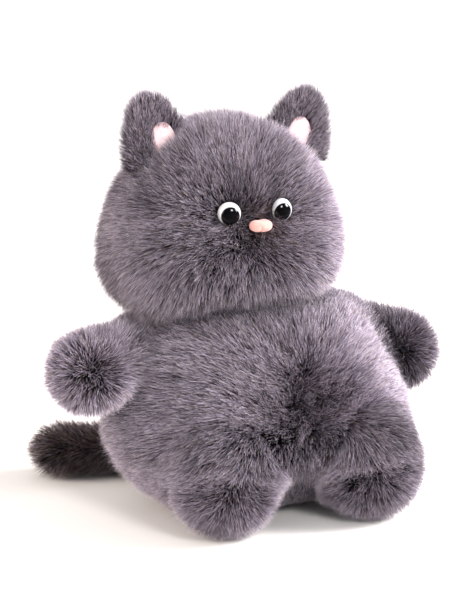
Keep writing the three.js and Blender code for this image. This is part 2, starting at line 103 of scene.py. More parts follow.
def hashed(corners: Array, seed: int) -> Array:
    """A number from 0 to 1 for each whole-numbered corner, the same on every run.

    Large odd factors and shifts scatter the bits, so that neighbours get unlike numbers.

    Args:
        corners: whole numbers, three to a row.
        seed: picks one of many such sets of numbers.

    Returns:
        One number for each row.
    """
    mixed = corners[..., 0] * 73856093 ^ corners[..., 1] * 19349663 ^ corners[..., 2] * 83492791
    mixed = (mixed ^ (seed * 2654435761)) & 0xFFFFFFFF
    mixed = ((mixed ^ (mixed >> 15)) * 2246822519) & 0xFFFFFFFF
    mixed = ((mixed ^ (mixed >> 13)) * 3266489917) & 0xFFFFFFFF
    return (mixed ^ (mixed >> 16)) / 4294967296.0


def cloudy(points: Array, size: float, seed: int) -> Array:
    """Smooth noise from -1 to 1: a number at each corner of a lattice of cubes, blended inside each cube.

    Args:
        points: places in millimetres.
        size: the side of a cube, in millimetres.
        seed: picks the numbers.

    Returns:
        One number for each place.
    """
    scaled = points / size
    corner = np.floor(scaled).astype(np.int64)
    part = scaled - corner
    part = part * part * (3 - 2 * part)
    total = np.zeros(points.shape[:-1])
    for step in np.ndindex(2, 2, 2):
        weight = np.prod(np.where(np.array(step) == 1, part, 1 - part), axis=-1)
        total += weight * hashed(corner + np.array(step), seed)
    return 2 * total - 1


def cloudy_vectors(points: Array, size: float, seed: int) -> Array:
    """Three independent cloudy numbers for each place, as a vector field."""
    return np.stack([cloudy(points, size, seed + i) for i in range(3)], axis=-1)


def tuft_centres(points: Array, size: float, seed: int) -> Array:
    """The middle of the tuft that each place belongs to: the nearest of one random spot per lattice cube.

    Args:
        points: places in millimetres.
        size: the usual distance between tufts, in millimetres.
        seed: picks the spots.

    Returns:
        The nearest spot for each place.
    """
    corner = np.floor(points / size).astype(np.int64)
    best = np.full(points.shape[0], np.inf)
    nearest = np.zeros_like(points)
    for step in np.ndindex(3, 3, 3):
        cell = corner + np.array(step) - 1
        spot = np.stack([hashed(cell, seed + i) for i in range(3)], axis=-1)
        spot = (cell + spot) * size
        away = np.sum((spot - points) ** 2, axis=-1)
        closer = away < best
        best = np.where(closer, away, best)
        nearest[closer] = spot[closer]
    return nearest


# ---------------------------------------------------------------- meshes

# The map's name: the fur's finish reads each fibre's colour from its places in the map of this name.
# The export keeps a map of this name for its baked colours, and makes one for a piece that has none.
UV_NAME = "OFBake"


@dataclass
class Patchwork:
    """Points, faces and face-corner map places of one piece, gathered before its mesh is made."""

    points: list[Array] = field(default_factory=list)
    corners: list[Array] = field(default_factory=list)
    sizes: list[Array] = field(default_factory=list)
    places: list[Array] = field(default_factory=list)
    soft: list[Array] = field(default_factory=list)
    count: int = 0

    def add(self, points: Array, faces: Array, places: Array, rounded: bool) -> None:
        """Adds faces of one size.

        Args:
            points: places in millimetres.
            faces: one row of point numbers for each face.
            places: the map place of each point.
            rounded: whether the faces are shaded as one smooth surface.
        """
        self.points.append(points.reshape(-1, 3))
        self.corners.append((faces + self.count).ravel())
        self.sizes.append(np.full(len(faces), faces.shape[1]))
        self.places.append(places.reshape(-1, 2)[faces.ravel()])
        self.soft.append(np.full(len(faces), rounded))
        self.count += points.reshape(-1, 3).shape[0]

    def add_more(self, faces: Array, places: Array, points: int, rounded: bool) -> None:
        """Adds faces of another size over the points that were added last.

        Args:
            faces: one row of point numbers for each face.
            places: the map place of each of those points.
            points: how many points were added last.
            rounded: whether the faces are shaded as one smooth surface.
        """
        self.corners.append((faces + self.count - points).ravel())
        self.sizes.append(np.full(len(faces), faces.shape[1]))
        self.places.append(places.reshape(-1, 2)[faces.ravel()])
        self.soft.append(np.full(len(faces), rounded))

    def made(self, name: str, material: bpy.types.Material) -> bpy.types.Object:
        """Turns what was gathered into one object at the origin, in metres.

        A map with no extent is left out.

        Args:
            name: the piece's name.
            material: its finish.

        Returns:
            The object.
        """
        points = np.concatenate(self.points) * MM
        corners = np.concatenate(self.corners)
        sizes = np.concatenate(self.sizes)
        mesh = bpy.data.meshes.new(name)
        mesh.vertices.add(len(points))
        mesh.vertices.foreach_set("co", points.astype(np.float32).ravel())
        mesh.loops.add(len(corners))
        mesh.loops.foreach_set("vertex_index", corners.astype(np.int32))
        mesh.polygons.add(len(sizes))
        starts = np.concatenate([[0], np.cumsum(sizes)[:-1]])
        mesh.polygons.foreach_set("loop_start", starts.astype(np.int32))
        mesh.update(calc_edges=True)
        mesh.polygons.foreach_set("use_smooth", np.concatenate(self.soft))
        places = np.concatenate(self.places)
        if np.ptp(places, axis=0).min() > 0.0:
            layer = mesh.uv_layers.new(name=UV_NAME)
            layer.data.foreach_set("uv", places.astype(np.float32).ravel())
        mesh.materials.append(material)
        piece = bpy.data.objects.new(name, mesh)
        bpy.context.scene.collection.objects.link(piece)
        log.info("%s: %d faces", name, len(sizes))
        return piece


def grid_faces(rows: int, columns: int) -> tuple[Array, Array]:
    """Faces of a closed surface: two poles, with rings of points between them.

    Args:
        rows: how many rings.
        columns: how many points in a ring.

    Returns:
        The quads between rings, and the triangles at both poles. The points are the first pole, the rings
        in order, and the last pole.
    """
    ring = np.arange(columns)
    ahead = (ring + 1) % columns
    starts = 1 + np.arange(rows - 1)[:, None] * columns
    quads = np.stack(
        [starts + ring, starts + ahead, starts + columns + ahead, starts + columns + ring], axis=-1)
    first = np.stack([np.zeros(columns, int), 1 + ahead, 1 + ring], axis=-1)
    last_ring = 1 + (rows - 1) * columns
    pole = np.full(columns, last_ring + columns)
    last = np.stack([pole, last_ring + ring, last_ring + ahead], axis=-1)
    return quads.reshape(-1, 4), np.concatenate([first, last])


# ---------------------------------------------------------------- forms


@dataclass(frozen=True)
class Spine:
    """The cat's middle line: a growing bend to its right, and a straight slope back, up to the head."""

    side: float = -20.0
    back: float = 22.0
    height: float = 206.0
    bend: float = 1.5

    def at(self, height: Array) -> Array:
        """The line's place at each height.

        Args:
            height: millimetres above the floor.

        Returns:
            One place for each height.
        """
        part = np.asarray(height, float) / self.height
        across = self.side * np.maximum(part, 0) ** self.bend
        return np.stack([across, self.back * part, height + 0 * part], axis=-1)


SPINE = Spine()

# How near to a pole places are still worked out, as a part of the way from pole to pole.
POLE_GAP = 1e-4


class Form:
    """A closed outline. Around goes once about it and along goes from pole to pole, both from 0 to 1."""

    def outline(self, around: Array, along: Array, grow: float) -> Array:
        """Places on the outline, moved outwards by grow millimetres."""
        raise NotImplementedError

    def distance(self, points: Array) -> Array:
        """Roughly how far outside the outline each place is, and less than zero inside it."""
        raise NotImplementedError

    def holds(self, points: Array, grow: float) -> Array:
        """Whether each place is inside the outline grown by so many millimetres."""
        return self.distance(points) < grow

    def facing(self, around: Array, along: Array, grow: float) -> Array:
        """The outward direction at each place: the product of the slopes along the two parameters.

        Args:
            around: the place round each ring, from 0 to 1.
            along: the ring's place from pole to pole, from 0 to 1.
            grow: millimetres outwards.

        Returns:
            Unit directions.
        """
        step = 2e-4
        across = self.outline(around + step, along, grow) - self.outline(around - step, along, grow)
        low = np.clip(along - step, POLE_GAP, 1 - POLE_GAP)
        high = np.clip(along + step, POLE_GAP, 1 - POLE_GAP)
        down = self.outline(around, high, grow) - self.outline(around, low, grow)
        return unit(np.cross(down, across))

    def cloth(
        self, work: Patchwork, grow: float, rows: int, columns: int, floor: float | None,
        tone: tuple[float, float],
    ) -> None:
        """Adds the closed cloth skin under the pile.

        Args:
            work: where the faces go.
            grow: how far outside the outline the cloth lies.
            rows: rings between the poles.
            columns: points in a ring.
            floor: the height that the cloth is pressed flat on, if it rests on something.
            tone: the lowest and highest of the cloth's own tones.
        """
        along = (np.arange(rows) + 1) / (rows + 1)
        around = np.arange(columns) / columns
        rings = self.outline(around[None, :] + 0 * along[:, None], along[:, None] + 0 * around[None, :], grow)
        ends = self.outline(np.zeros(2), np.array([1e-6, 1 - 1e-6]), grow)
        points = np.concatenate([ends[:1], rings.reshape(-1, 3), ends[1:]])
        if floor is not None:
            points[:, 2] = np.maximum(points[:, 2], floor)
        quads, ends_faces = grid_faces(rows, columns)
        shade = tone[0] + (tone[1] - tone[0]) * (0.5 + 0.5 * cloudy(points, 6.0, 5))
        # The cloth takes the colour of a fibre's foot, nearly black: partly the pile's own dark and partly
        # painted shade from the pile over it.
        places = np.stack([shade, 0.02 + 0 * shade], axis=-1)
        work.add(points, quads, places, True)
        work.add_more(ends_faces, places, len(points), True)


@dataclass(frozen=True)
class TrunkForm(Form):
    """A full egg on the leaning middle line, widest low down."""

    half_width: float = 107.0
    half_depth: float = 80.0
    widest: float = 60.0
    top: float = 168.0
    base: float = -5.0
    fullness: float = 2.5

    def spread(self, lift: Array) -> Array:
        """How wide the trunk is at a part of its height, as a part of its widest."""
        return np.maximum(1 - np.abs(lift) ** self.fullness, 0) ** (1 / self.fullness)

    def outline(self, around: Array, along: Array, grow: float) -> Array:
        """A ring of the leaning egg: half width and half depth times the spread at that height.

        Args:
            around: the place round each ring, from 0 to 1.
            along: the ring's place from pole to pole, from 0 to 1.
            grow: millimetres outwards.

        Returns:
            Places on the outline.
        """
        turn = 2 * np.pi * around
        lift = np.cos(np.pi * along)
        reach = np.where(lift > 0, self.top - self.widest, self.widest - self.base)
        spots = SPINE.at(self.widest + lift * (reach + grow))
        wide = self.spread(lift)
        spots[..., 0] += np.cos(turn) * wide * (self.half_width + grow)
        spots[..., 1] += np.sin(turn) * wide * (self.half_depth + grow)
        return spots

    def distance(self, points: Array) -> Array:
        """The same egg's power sum is one on the outline, and grows in step with the way from the middle.

        Args:
            points: places in millimetres.

        Returns:
            Millimetres outside the outline, and less than zero inside it.
        """
        height = points[..., 2]
        off = points - SPINE.at(height)
        reach = np.where(height > self.widest, self.top - self.widest, self.widest - self.base)
        around = np.hypot(off[..., 0] / self.half_width, off[..., 1] / self.half_depth)
        power = around**self.fullness + np.abs((height - self.widest) / reach) ** self.fullness
        size = np.maximum(power ** (1 / self.fullness), 1e-3)
        away = np.sqrt(off[..., 0] ** 2 + off[..., 1] ** 2 + (height - self.widest) ** 2)
        return (size - 1) / size * away


@dataclass(frozen=True)
class HeadForm(Form):
    """A wide full egg with hanging cheeks, the right one fuller, and a puffed muzzle."""

    half_width: float = 79.5
    half_depth: float = 70.0
    half_height: float = 68.0
    middle: float = 206.0
    jowl: float = 0.13
    crown: float = 2.05
    cheeks: float = 3.2
    change: float = 0.4
    sag: float = 1.3
    slope: float = 20.0
    puff: float = 8.0

    @property
    def centre(self) -> Array:
        """The head's middle, on the spine."""
        return SPINE.at(np.array(self.middle))

    def profile(self, off: Array) -> Array:
        """How far back the face lies from the egg: the brow slopes back and the muzzle hangs forward.

        Args:
            off: places on the egg, measured from the head's middle.

        Returns:
            Millimetres along +Y at each place, none at the sides and the back.
        """
        x, y, z = off[..., 0], off[..., 1], off[..., 2]
        front = smooth(15.0, 58.0, -y)
        brow = smooth_line(z, -40.0, 60.0)
        muzzle = np.exp(-((x / 62.0) ** 4) - ((z + 36.0) / 22.0) ** 2)
        return front * (self.slope * brow - self.puff * muzzle)

    def power(self, lift: Array, across: Array) -> Array:
        """How square the outline is, by parts of the half height and half width: round at the crown."""
        low = self.cheeks + self.sag * smooth(0.3, 0.8, -across)
        return low + (self.crown - low) * smooth(-self.change, self.change, lift)

    def face_at(self, x: float, z: float) -> Array:
        """The place on the face at a way across and up from the head's middle.

        Args:
            x: millimetres to the cat's left of the head's middle.
            z: millimetres above it.

        Returns:
            The place, with the egg's power sum solved for its depth.
        """
        power = float(self.power(np.array(z / self.half_height), np.array(x / self.half_width)))
        used = abs(x / (self.half_width * (1 - self.jowl * z / self.half_height))) ** power
        used += abs(z / self.half_height) ** power
        off = np.array([x, -self.half_depth * (1 - used) ** (1 / power), z])
        return self.centre + off + np.array([0.0, float(self.profile(off)), 0.0])

    def plain(self, way: Array, grow: float) -> Array:
        """The egg: a power sum of the three half sizes, rounder above than below.

        Args:
            way: unit directions from the middle.
            grow: millimetres outwards.

        Returns:
            Places on the egg.
        """
        power = self.power(way[..., 2], way[..., 0])
        size = sum(np.abs(way[..., i]) ** power for i in range(3)) ** (-1 / power)
        hang = 1 - self.jowl * way[..., 2]
        half = np.array([self.half_width + grow, self.half_depth + grow, self.half_height + grow])
        spots = way * size[..., None] * half
        spots[..., 0] *= hang
        return self.centre + spots

    def outline(self, around: Array, along: Array, grow: float) -> Array:
        """The egg, with its poles on Z, moved by the face's profile.

        Args:
            around: the place round each ring, from 0 to 1.
            along: the ring's place from pole to pole, from 0 to 1.
            grow: millimetres outwards.

        Returns:
            Places on the outline.
        """
        turn = 2 * np.pi * around
        slope = np.pi * along
        way = np.stack(
            [np.sin(slope) * np.cos(turn), np.sin(slope) * np.sin(turn), np.cos(slope) + 0 * turn], axis=-1)
        spots = self.plain(way, grow)
        spots[..., 1] += self.profile(spots - self.centre)
        return spots

    def distance(self, points: Array) -> Array:
        """The egg's power sum is one on the outline, and grows in step with the way from the middle.

        Args:
            points: places in millimetres.

        Returns:
            Millimetres outside the outline, and less than zero inside it.
        """
        off = points - self.centre
        way = unit(off / np.array([self.half_width, self.half_depth, self.half_height]))
        power = self.power(way[..., 2], way[..., 0])
        hang = 1 - self.jowl * np.clip(off[..., 2] / self.half_height, -1, 1)
        used = np.abs(off[..., 0] / (self.half_width * hang)) ** power
        used = used + np.abs(off[..., 1] / self.half_depth) ** power
        used = used + np.abs(off[..., 2] / self.half_height) ** power
        size = np.maximum(used ** (1 / power), 1e-3)
        return (size - 1) / size * np.linalg.norm(off, axis=-1)


@dataclass(frozen=True)
class LineForm(Form):
    """A round-ended roll about a middle line: a limb's is straight and the tail's is bent."""

    line: tuple[tuple[float, float, float], ...]
    root_radius: float
    end_radius: float

    def along_line(self, part: Array) -> tuple[Array, Array, Array]:
        """Places on the line, its direction and its distance from the start.

        Args:
            part: from 0 at the line's start to 1 at its end.

        Returns:
            The places, the unit directions, and the whole length.
        """
        knots = np.array(self.line)
        if len(knots) == 2:
            places = knots[0] + part[..., None] * (knots[1] - knots[0])
            ahead = np.broadcast_to(unit(knots[1] - knots[0]), places.shape)
            return places, ahead, np.linalg.norm(knots[1] - knots[0])
        fine = self.smoothed()
        lengths = np.concatenate([[0], np.cumsum(np.linalg.norm(np.diff(fine, axis=0), axis=1))])
        want = np.clip(part, 0, 1) * lengths[-1]
        places = np.stack([np.interp(want, lengths, fine[:, i]) for i in range(3)], axis=-1)
        slopes = unit(np.gradient(fine, lengths, axis=0))
        ahead = unit(np.stack([np.interp(want, lengths, slopes[:, i]) for i in range(3)], axis=-1))
        return places, ahead, lengths[-1]

    def smoothed(self) -> Array:
        """Joins the bent line's knots by a curve whose slope at a knot is half the gap of its neighbours.

        Returns:
            Places along the curve, close enough to be joined by straight steps.
        """
        knots = np.array(self.line)
        first = 2 * knots[0] - knots[1]
        last = 2 * knots[-1] - knots[-2]
        full = np.concatenate([[first], knots, [last]])
        part = np.linspace(0, 1, 24, endpoint=False)[:, None]
        runs = []
        for i in range(1, len(full) - 2):
            a, b, c, d = full[i - 1], full[i], full[i + 1], full[i + 2]
            slope_b, slope_c = (c - a) / 2, (d - b) / 2
            runs.append(
                (2 * part**3 - 3 * part**2 + 1) * b + (part**3 - 2 * part**2 + part) * slope_b
                + (-2 * part**3 + 3 * part**2) * c + (part**3 - part**2) * slope_c
            )
        return np.concatenate(runs + [knots[-1:]])

    def outline(self, around: Array, along: Array, grow: float) -> Array:
        """A ball at the root, a cone along the line, and a ball at the end, as one profile.

        Args:
            around: the place round each ring, from 0 to 1.
            along: the ring's place from pole to pole, from 0 to 1.
            grow: millimetres outwards.

        Returns:
            Places on the outline.
        """
        turn = 2 * np.pi * around
        root_share, end_share = 0.3, 0.72
        start = smooth_line(along, 0.0, root_share)
        middle = smooth_line(along, root_share, end_share)
        finish = smooth_line(along, end_share, 1.0)
        places, ahead, length = self.along_line(middle)
        root_turn = (1 - start) * np.pi / 2
        end_turn = finish * np.pi / 2
        radius = (1 - middle) * self.root_radius + middle * self.end_radius + grow
        across = radius * np.cos(root_turn) * np.cos(end_turn)
        beyond = radius * (np.sin(end_turn) - np.sin(root_turn))
        up = np.broadcast_to(np.array([0.0, 0.0, 1.0]), ahead.shape)
        side = unit(np.cross(ahead, up))
        up = np.cross(side, ahead)
        ring = side * np.cos(turn)[..., None] + up * np.sin(turn)[..., None]
        return places + ahead * beyond[..., None] + ring * across[..., None]

    def distance(self, points: Array) -> Array:
        """The least, over places along the line, of the way to that place less the roll's radius there.

        Args:
            points: places in millimetres.

        Returns:
            Millimetres outside the outline, and less than zero inside it.
        """
        part = np.linspace(0, 1, 12)
        places, _, _ = self.along_line(part)
        least = np.full(points.shape[:-1], np.inf)
        for place, share in zip(places, part):
            radius = (1 - share) * self.root_radius + share * self.end_radius
            least = np.minimum(least, np.linalg.norm(points - place, axis=-1) - radius)
        return least


@dataclass(frozen=True)
class EarForm(Form):
    """A round-topped triangle standing on the head, thick as a cushion, with a hollow in its front."""

    side: int
    tip_out: float
    half_width: float = 28.0
    height: float = 55.0
    half_thick: float = 9.0
    tip_round: float = 16.0
    splay: float = 8.0
    pitch: float = -6.0
    out: float = 46.0
    front: float = -6.0
    lift: float = 30.0
    hollow_in: float = 2.0
    hollow_lift: float = 25.0
    hollow_half: tuple[float, float] = (10.0, 13.0)
    hollow_depth: float = 3.0

    def place(self, spots: Array) -> Array:
        """Moves places from the ear's own axes to the head: turned about X, then about Y, then shifted.

        Args:
            spots: places with the ear's foot at the origin and its front towards -Y.

        Returns:
            The places in the CAD frame.
        """
        head = HeadForm().centre
        pitch, splay = math.radians(self.pitch), math.radians(self.side * self.splay)
        x, y, z = spots[..., 0], spots[..., 1], spots[..., 2]
        y, z = y * math.cos(pitch) - z * math.sin(pitch), y * math.sin(pitch) + z * math.cos(pitch)
        x, z = x * math.cos(splay) + z * math.sin(splay), -x * math.sin(splay) + z * math.cos(splay)
        return np.stack([x, y, z], axis=-1) + head + np.array([self.side * self.out, self.front, self.lift])

    def edge(self, rise: Array, grow: float) -> tuple[Array, Array]:
        """Half width and height up the ear's side, which is one cubic curve from foot to tip.

        Args:
            rise: 0 at the foot, 1 at the tip.
            grow: millimetres outwards.

        Returns:
            The half width and the height at each rise.
        """
        left = 1 - rise
        wide = left**3 + 3 * left**2 * rise * 0.95
        half = wide * (self.half_width + grow) + 3 * left * rise**2 * (self.tip_round + grow / 2)
        high = (3 * left**2 * rise * 0.5 + 3 * left * rise**2 + rise**3) * (self.height + grow)
        return half, high

    def outline(self, around: Array, along: Array, grow: float) -> Array:
        """Rings that shrink up the ear's side, flattened to its thickness and hollowed at the front.

        Args:
            around: the place round each ring, from 0 to 1.
            along: the ring's place from pole to pole, from 0 to 1.
            grow: millimetres outwards.

        Returns:
            Places on the outline.
        """
        turn = 2 * np.pi * around
        rise = 1 - np.abs(along)
        half, high = self.edge(rise, grow)
        closing = np.sqrt(np.maximum(1 - rise**3, 0))
        thick = max(self.half_thick + grow, 2.5) * closing
        foot = smooth(0.0, 0.06, rise)
        x = half * np.cos(turn) * foot + self.side * self.tip_out * high / self.height
        y = thick * np.sin(turn) * foot
        hollow = bell(x + self.side * self.hollow_in, self.hollow_half[0])
        hollow = hollow * bell(high - self.hollow_lift, self.hollow_half[1])
        y = y + np.where(np.sin(turn) < 0, self.hollow_depth * hollow * (-np.sin(turn)), 0)
        return self.place(np.stack([x, y, high], axis=-1))


# ---------------------------------------------------------------- pile


@dataclass(frozen=True)
class Fillet:
    """A form that is joined softly to the others.

    Attributes:
        form: the form.
        low: the fillet's reach at the floor, in millimetres.
        high: its reach from half the trunk's height up.
    """

    form: Form
    low: float = 0.0
    high: float = 0.0

    def reach(self, points: Array) -> Array:
        """The fillet's reach at each place's height."""
        return self.low + (self.high - self.low) * smooth(20.0, 62.0, points[..., 2]) + 1e-3


def joined(points: Array, forms: list[Fillet]) -> Array:
    """How far outside several forms a place is, where each form is joined to the first by a soft fillet.

    Args:
        points: places in millimetres.
        forms: the forms that meet.

    Returns:
        The soft least of the forms' distances: lower than both where two forms are near each other.
    """
    least = forms[0].form.distance(points)
    for fillet in forms[1:]:
        other = fillet.form.distance(points)
        reach = fillet.reach(points)
        near = np.maximum(reach - np.abs(least - other), 0) / reach
        least = np.minimum(least, other) - near * near * reach / 4
    return least


def raised(roots: Array, facings: Array, forms: list[Fillet], limit: float) -> tuple[Array, Array]:
    """Lifts places out of the crease between forms onto their fillet, and turns their facings to it.

    Args:
        roots: places on one form's cloth.
        facings: the outward directions there.
        forms: the forms that meet.
        limit: the furthest that a place is lifted.

    Returns:
        The lifted places and the new facings.
    """
    step = 0.5
    full_turn = 3.0
    first = joined(roots, forms)
    sharp = np.min([fillet.form.distance(roots) for fillet in forms], axis=0)
    sunk = np.clip(sharp - first, 0, limit)[:, None]
    slope = np.stack(
        [joined(roots + way, forms) - joined(roots - way, forms) for way in step * np.eye(3)], axis=-1)
    share = np.clip(sunk / full_turn, 0, 1)
    turned = unit(facings * (1 - share) + unit(slope) * share)
    return roots + turned * sunk, turned


@dataclass(frozen=True)
class Clearing:
    """A hard piece's place in the pile, seen along its facing, that no fibre stands in front of.

    Attributes:
        centre: its middle.
        facing: the way the piece looks.
        across: half its width.
        up: half its height.
        behind: how far behind its middle a fibre counts as in front.
        taper: how much wider it is at its top than in its middle, as a part.
        square: 2 for an oval, and more for squarer corners.
    """

    centre: Array
    facing: Array
    across: float
    up: float
    behind: float = 4.0
    taper: float = 0.0
    square: float = 2.0

    def blocks(self, points: Array) -> Array:
        """Whether each place is in front of the piece.

        Args:
            points: places in millimetres.

        Returns:
            True for each place that the piece must not have.
        """
        off = points - self.centre
        face = unit(np.asarray(self.facing, float))
        right = unit(np.cross(np.array([0.0, 0.0, 1.0]), face))
        above = np.cross(face, right)
        ahead = off @ face
        rise = off @ above / self.up
        wide = self.across * (1 + self.taper * np.clip(rise, -1, 1))
        used = np.abs(off @ right / wide) ** self.square + np.abs(rise) ** self.square
        return (used < 1) & (ahead > -self.behind)


@dataclass(frozen=True)
class Pile:
    """How the fibres of one form stand.

    Attributes:
        length: from the cloth to the tip, in millimetres.
        per_mm2: fibres drawn for each square millimetre of cloth. A real one has dozens, each far too fine to
            show, so one drawn fibre stands for a lock of them.
        width: of a drawn fibre near its foot.
        lean: how far the pile is brushed over: 0 stands straight out, 1 lies at 45 degrees.
        unruly: how much each fibre strays from its neighbours.
        tuft: the usual distance between locks whose tips draw together.
        gather: how far a tip is drawn to its lock.
        brown: the part of the fibres that are brown rather than taupe.
    """

    length: float = 15.0
    per_mm2: float = 2.3
    width: float = 0.38
    lean: float = 0.55
    unruly: float = 0.2
    tuft: float = 3.6
    gather: float = 0.25
    brown: float = 0.12


def brushed_down(facings: Array) -> Array:
    """The way of gravity along the surface, for each outward direction."""
    down = np.array([0.0, 0.0, -1.0])
    return down - facings * dot(facings, down)


def brushed_from(points: Array, facings: Array, whorl: Array) -> Array:
    """The way along the surface from a whorl's middle, as a unit vector."""
    away = points - whorl
    return unit(away - facings * dot(facings, away))


# Guard hairs stand a little above the rest of the pile: their part of the fibres, and their length.
GUARD_SHARE = 0.04
GUARD_LENGTH = 1.22

# How far a drawn fibre strays from its neighbours' length and width, and the downward pull on its tip.
LENGTH_SPREAD = (0.78, 1.12)
WIDTH_SPREAD = (0.7, 1.25)
TIP_PULL = (0.5, 1.2)
TIP_WEIGHT = 0.10

# A ribbon's width at its waist, as a part of its width at its foot.
WAIST = 0.84

# Soft swirls of the pile and soft patches of its tone: size in millimetres, seed and strength.
SWIRLS = ((14.0, 11, 0.18), (5.0, 21, 0.16))
PATCHES = ((22.0, 41, 0.16), (6.0, 43, 0.14))
TONE_STRAY = 0.16
TONE_LIMITS = (0.02, 0.98)

# How far up its fibre each of a ribbon's five points lies: two at its foot, two at its waist and its tip.
RIBBON_RISE = (0.05, 0.05, 0.5, 0.5, 1.0)

# The two kinds of fibre lie side by side in the map, and this keeps a fibre's faces from being flat in it.
MAP_NUDGE = 0.0015


def grown(
    work: Patchwork,
    roots: Array,
    facings: Array,
    brush: Array,
    pile: Pile,
    lengths: Array,
    browns: Array,
    tones: Array,
    clearings: list[Clearing],
    floor: float | None,
    rng: np.random.Generator,
) -> None:
    """Adds one tapered two-part ribbon for each root.

    A fibre leaves its root along the cloth's facing, mixed with the brushing and a stray of its own, and
    turns further over in its second half. Its tip is drawn to the middle of its lock.

    Args:
        work: where the faces go.
        roots: places on the cloth.
        facings: outward directions there.
        brush: which way the pile is brushed there; its length says how much.
        pile: how the fibres stand.
        lengths: each fibre's length as a part of the pile's.
        browns: the chance of a brown fibre at each root.
        tones: how much lighter than usual the fibres are at each root: the painted light and shade that each
            piece sets.
        clearings: places that no fibre stands in front of.
        floor: the height that no fibre goes below, if the form rests on something.
        rng: the source of chance.
    """
    count = len(roots)
    stray = rng.normal(0, 1, (count, 3)) * pile.unruly
    swirl = sum(cloudy_vectors(roots, size, seed) * much for size, seed, much in SWIRLS)
    lower = unit(facings + brush * pile.lean * 0.7 + swirl + stray * 0.6)
    upper = unit(facings * 0.85 + brush * pile.lean * 1.5 + swirl * 1.4 + stray)
    upper = upper - np.array([0.0, 0.0, TIP_WEIGHT])
    long = pile.length * lengths * rng.uniform(*LENGTH_SPREAD, count)
    guard = rng.random(count) < GUARD_SHARE
    long = np.where(guard, long * GUARD_LENGTH, long)[:, None]
    middle = roots + lower * long * 0.5
    tips = middle + unit(upper) * long * 0.5
    locks = tuft_centres(roots, pile.tuft, 31)
    ends = locks + (tips - roots)
    tips = tips + (ends - tips) * (pile.gather * rng.uniform(*TIP_PULL, (count, 1)))
    keep = np.ones(count, bool)
    for clearing in clearings:
        keep &= ~clearing.blocks(roots)
        for share in (0.0, 0.5, 1.0):
            keep &= ~clearing.blocks(middle * (1 - share) + tips * share)
    if floor is not None:
        middle[:, 2] = np.maximum(middle[:, 2], floor + rng.uniform(0, 1.0, count))
        tips[:, 2] = np.maximum(tips[:, 2], floor + rng.uniform(0, 1.2, count))
        keep &= roots[:, 2] > floor
    roots, facings, middle, tips = roots[keep], facings[keep], middle[keep], tips[keep]
    browns, tones = browns[keep], tones[keep]
    count = len(roots)
    wide = pile.width * rng.uniform(*WIDTH_SPREAD, (count, 1))
    ahead = unit(tips - roots)
    side = unit(np.cross(ahead, facings + rng.normal(0, 0.6, (count, 3))))
    feet = side * wide * 0.5
    waist = feet * WAIST
    points = np.stack([roots - feet, roots + feet, middle + waist, middle - waist, tips], axis=1)
    first = np.arange(count)[:, None] * 5
    quads = first + np.array([0, 1, 2, 3])
    tip_faces = first + np.array([3, 2, 4])
    # The given tones are painted light and shade; the patches and the stray are the pile's own uneven tone.
    tone = 0.5 + tones + sum(much * cloudy(roots, size, seed) for size, seed, much in PATCHES)
    tone = np.clip(tone + rng.normal(0, TONE_STRAY, count), *TONE_LIMITS)
    is_brown = rng.random(count) < browns
    across = np.where(is_brown, 0.5, 0.0) + 0.5 * tone
    rise = np.array(RIBBON_RISE)
    places = np.stack(
        [np.repeat(across[:, None], 5, axis=1), np.repeat(rise[None, :], count, axis=0)], axis=-1)
    places[:, 1:3, 0] += MAP_NUDGE
    work.add(points.reshape(-1, 3), quads, places, False)
    work.add_more(tip_faces, places, count * 5, False)


def scattered(form: Form, grow: float, per_mm2: float, rng: np.random.Generator) -> tuple[Array, Array]:
    """Random places spread evenly over a form's outline.

    The outline is cut into small cells, each cell gets places in proportion to its area, and each place falls
    anywhere in its cell.

    Args:
        form: the outline.
        grow: millimetres outwards.
        per_mm2: places for each square millimetre.
        rng: the source of chance.

    Returns:
        The places and the outward direction at each.
    """
    rows, columns = 140, 180
    along = np.linspace(POLE_GAP, 1 - POLE_GAP, rows + 1)[:, None] + np.zeros((1, columns + 1))
    around = np.linspace(0, 1, columns + 1)[None, :] + np.zeros((rows + 1, 1))
    grid = form.outline(around, along, grow)
    one = grid[1:, 1:] - grid[:-1, :-1]
    other = grid[1:, :-1] - grid[:-1, 1:]
    area = np.linalg.norm(np.cross(one, other), axis=-1).ravel() / 2
    cells = rng.choice(area.size, int(area.sum() * per_mm2), p=area / area.sum())
    row, column = np.divmod(cells, columns)
    around_at = (column + rng.random(len(cells))) / columns
    along_at = POLE_GAP + (1 - 2 * POLE_GAP) * (row + rng.random(len(cells))) / rows
    return form.outline(around_at, along_at, grow), form.facing(around_at, along_at, grow)


# ---------------------------------------------------------------- finishes


def linear(colour: str) -> tuple[float, float, float, float]:
    """An sRGB hex colour as linear numbers, with full cover.

    Args:
        colour: the colour, as #rrggbb.

    Returns:
        Red, green, blue and 1.
    """
    parts = np.array([int(colour[i : i + 2], 16) for i in (1, 3, 5)]) / 255
    light = np.where(parts <= 0.04045, parts / 12.92, ((parts + 0.055) / 1.055) ** 2.4)
    return (*light.tolist(), 1.0)


def add_node(
    tree: bpy.types.NodeTree, kind: str, settings: dict | None = None, links: dict | None = None,
) -> bpy.types.Node:
    """Adds a node.

    Args:
        tree: the material's node tree.
        kind: the node's type name.
        settings: attribute names, or input names with a leading '=', and their values. "stops" gives a
            ramp's places and hex colours.
        links: input names and the output sockets that feed them.

    Returns:
        The node.
    """
    node = tree.nodes.new(kind)
    for name, value in (settings or {}).items():
        if name.startswith("="):
            node.inputs[int(name[1:]) if name[1:].isdigit() else name[1:]].default_value = value
        elif name == "stops":
            elements = node.color_ramp.elements
            while len(elements) < len(value):
                elements.new(0.5)
            for element, (place, colour) in zip(elements, value):
                element.position = place
                element.color = linear(colour)
        else:
            setattr(node, name, value)
    for name, socket in (links or {}).items():
        tree.links.new(socket, node.inputs[name])
    return node


